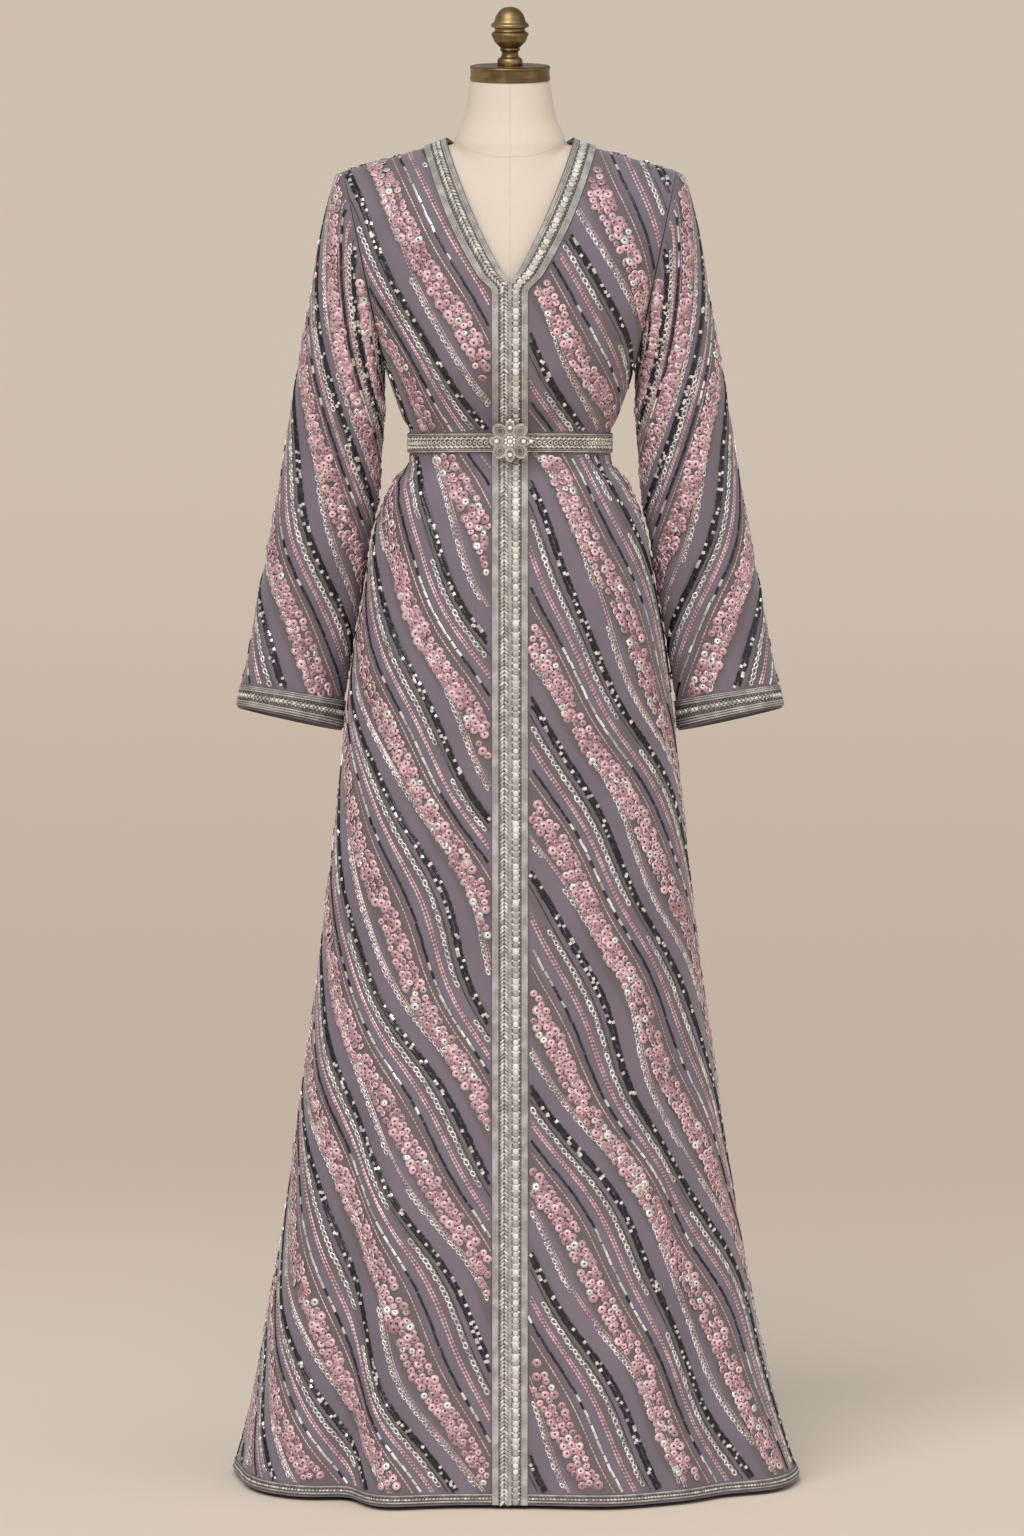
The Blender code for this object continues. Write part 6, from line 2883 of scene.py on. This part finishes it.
@dataclass
class Studio:
    """The pale floor, the soft lights and the camera."""

    aim: tuple[float, float, float] = (0.00224, 0.0, 0.813)
    eye: tuple[float, float, float] = (0.00224, -14.0, 2.6)
    lens: float = 293.0
    floor_half: float = 60.0

    def build(self) -> None:
        """Makes the floor, the lights, the sky and the camera."""
        builder = bmesh.new()
        bmesh.ops.create_grid(builder, x_segments=2, y_segments=2, size=self.floor_half)
        floor = object_from("floor", builder, FloorFinish().material("floor"), None)
        floor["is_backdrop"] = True
        self.sun("key_light", (-1.7, -4.5, 4.8), 1.9, 45.0)
        self.sun("fill_light", (4.0, -4.5, 3.0), 0.78, 90.0)
        self.sky((1.0, 0.975, 0.945, 1.0), 0.385)
        bpy.context.scene.view_settings.view_transform = "Standard"
        camera = bpy.data.cameras.new("camera")
        camera.lens = self.lens
        camera.sensor_width = 36.0
        camera.clip_end = 200.0
        stand = bpy.data.objects.new("camera", camera)
        stand.location = self.eye
        stand.rotation_euler = (Vector(self.aim) - Vector(self.eye)).to_track_quat("-Z", "Y").to_euler()
        bpy.context.scene.collection.objects.link(stand)
        bpy.context.scene.camera = stand

    def sun(self, name: str, place: tuple[float, float, float], strength: float, angle: float) -> None:
        """A soft, wide light from one direction.

        Args:
            name: The light's name.
            place: Where it shines from.
            strength: Its strength.
            angle: Its width in degrees.
        """
        light = bpy.data.lights.new(name, "SUN")
        light.energy = strength
        light.angle = math.radians(angle)
        light.color = (1.0, 0.972, 0.94)
        lamp = bpy.data.objects.new(name, light)
        lamp.location = place
        lamp.rotation_euler = Vector(place).to_track_quat("Z", "Y").to_euler()
        bpy.context.scene.collection.objects.link(lamp)

    def sky(self, colour: Colour, strength: float) -> None:
        """An even warm light from all round.

        Args:
            colour: Its colour.
            strength: Its strength.
        """
        world = bpy.data.worlds.new("studio")
        world.use_nodes = True
        ground = world.node_tree.nodes["Background"]
        ground.inputs[0].default_value = colour
        ground.inputs[1].default_value = strength
        bpy.context.scene.world = world


CUTS = {
    "front_right": ((0.4, 1.56), 0.42),
    "front_left": ((0.41, 1.56), 0.42),
    "back": ((0.76, 1.56), 0.85),
    "sleeve_right": ((0.4, 0.64), 0.17),
    "sleeve_left": ((0.4, 0.64), 0.17),
}


def dress(panels: dict[str, Panel], sewn: dict[str, list[Piece]], finishes: Finishes,
          templates: Templates) -> None:
    """Args:
        panels: The panels.
        sewn: The braid pieces that go with each panel.
        finishes: The materials.
        templates: The small meshes.
    """
    work = ClothWork()
    body_bands = StripePattern()
    sleeve_bands = StripePattern(slant=math.radians(54.0), phase=0.02)
    for seed, (name, panel) in enumerate(panels.items()):
        pattern = sleeve_bands if name.startswith("sleeve") else body_bands
        cloth = work.build(panel, pattern, finishes.cloth)
        pieces = Beadwork(panel, pattern, templates, 11 + seed).build(finishes)
        flat, area = CUTS[name]
        together = pieces + sewn[name]


def main() -> None:
    """Builds every piece in order."""
    logging.basicConfig(level=logging.INFO, format="%(message)s")
    finishes = Finishes()
    templates = Templates()
    body = BodyShape()
    maker = PanelMaker(body)
    panels = {
        "front_right": maker.front(-1),
        "front_left": maker.front(1),
        "back": maker.back(),
        "sleeve_right": maker.sleeve(-1),
        "sleeve_left": maker.sleeve(1),
    }
    DressForm(body).build(finishes)
    Brass().build(finishes)
    sewn = Braids(panels, body, maker).build(finishes, templates)
    belt = Belt(body)
    belt.build(finishes, templates)
    belt_z = float(belt.middle(0.0))
    belt_top = body.skirt(0.0, belt_z + 0.5 * BELT_HEIGHT)
    back_y = float(belt_top[1]) - BRAID_LIFT - BRAID_WALL - BELT_LIFT - BELT_WALL - SEAM_GAP
    Rosette(belt_z + ROSETTE_ABOVE_BELT, back_y).build(finishes, templates)
    dress(panels, sewn, finishes, templates)
    for node in ("stand_pole", "stand_base"):
        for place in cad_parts[node].material_slots:
            place.material = finishes.steel
    Studio().build()
    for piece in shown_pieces():
        log.info("%s: %d faces", piece.name, len(piece.data.polygons))
    boxes = [[list(corner) for corner in box] for box in (CAD_BOX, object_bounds())]


if __name__ == "__main__":
    main()
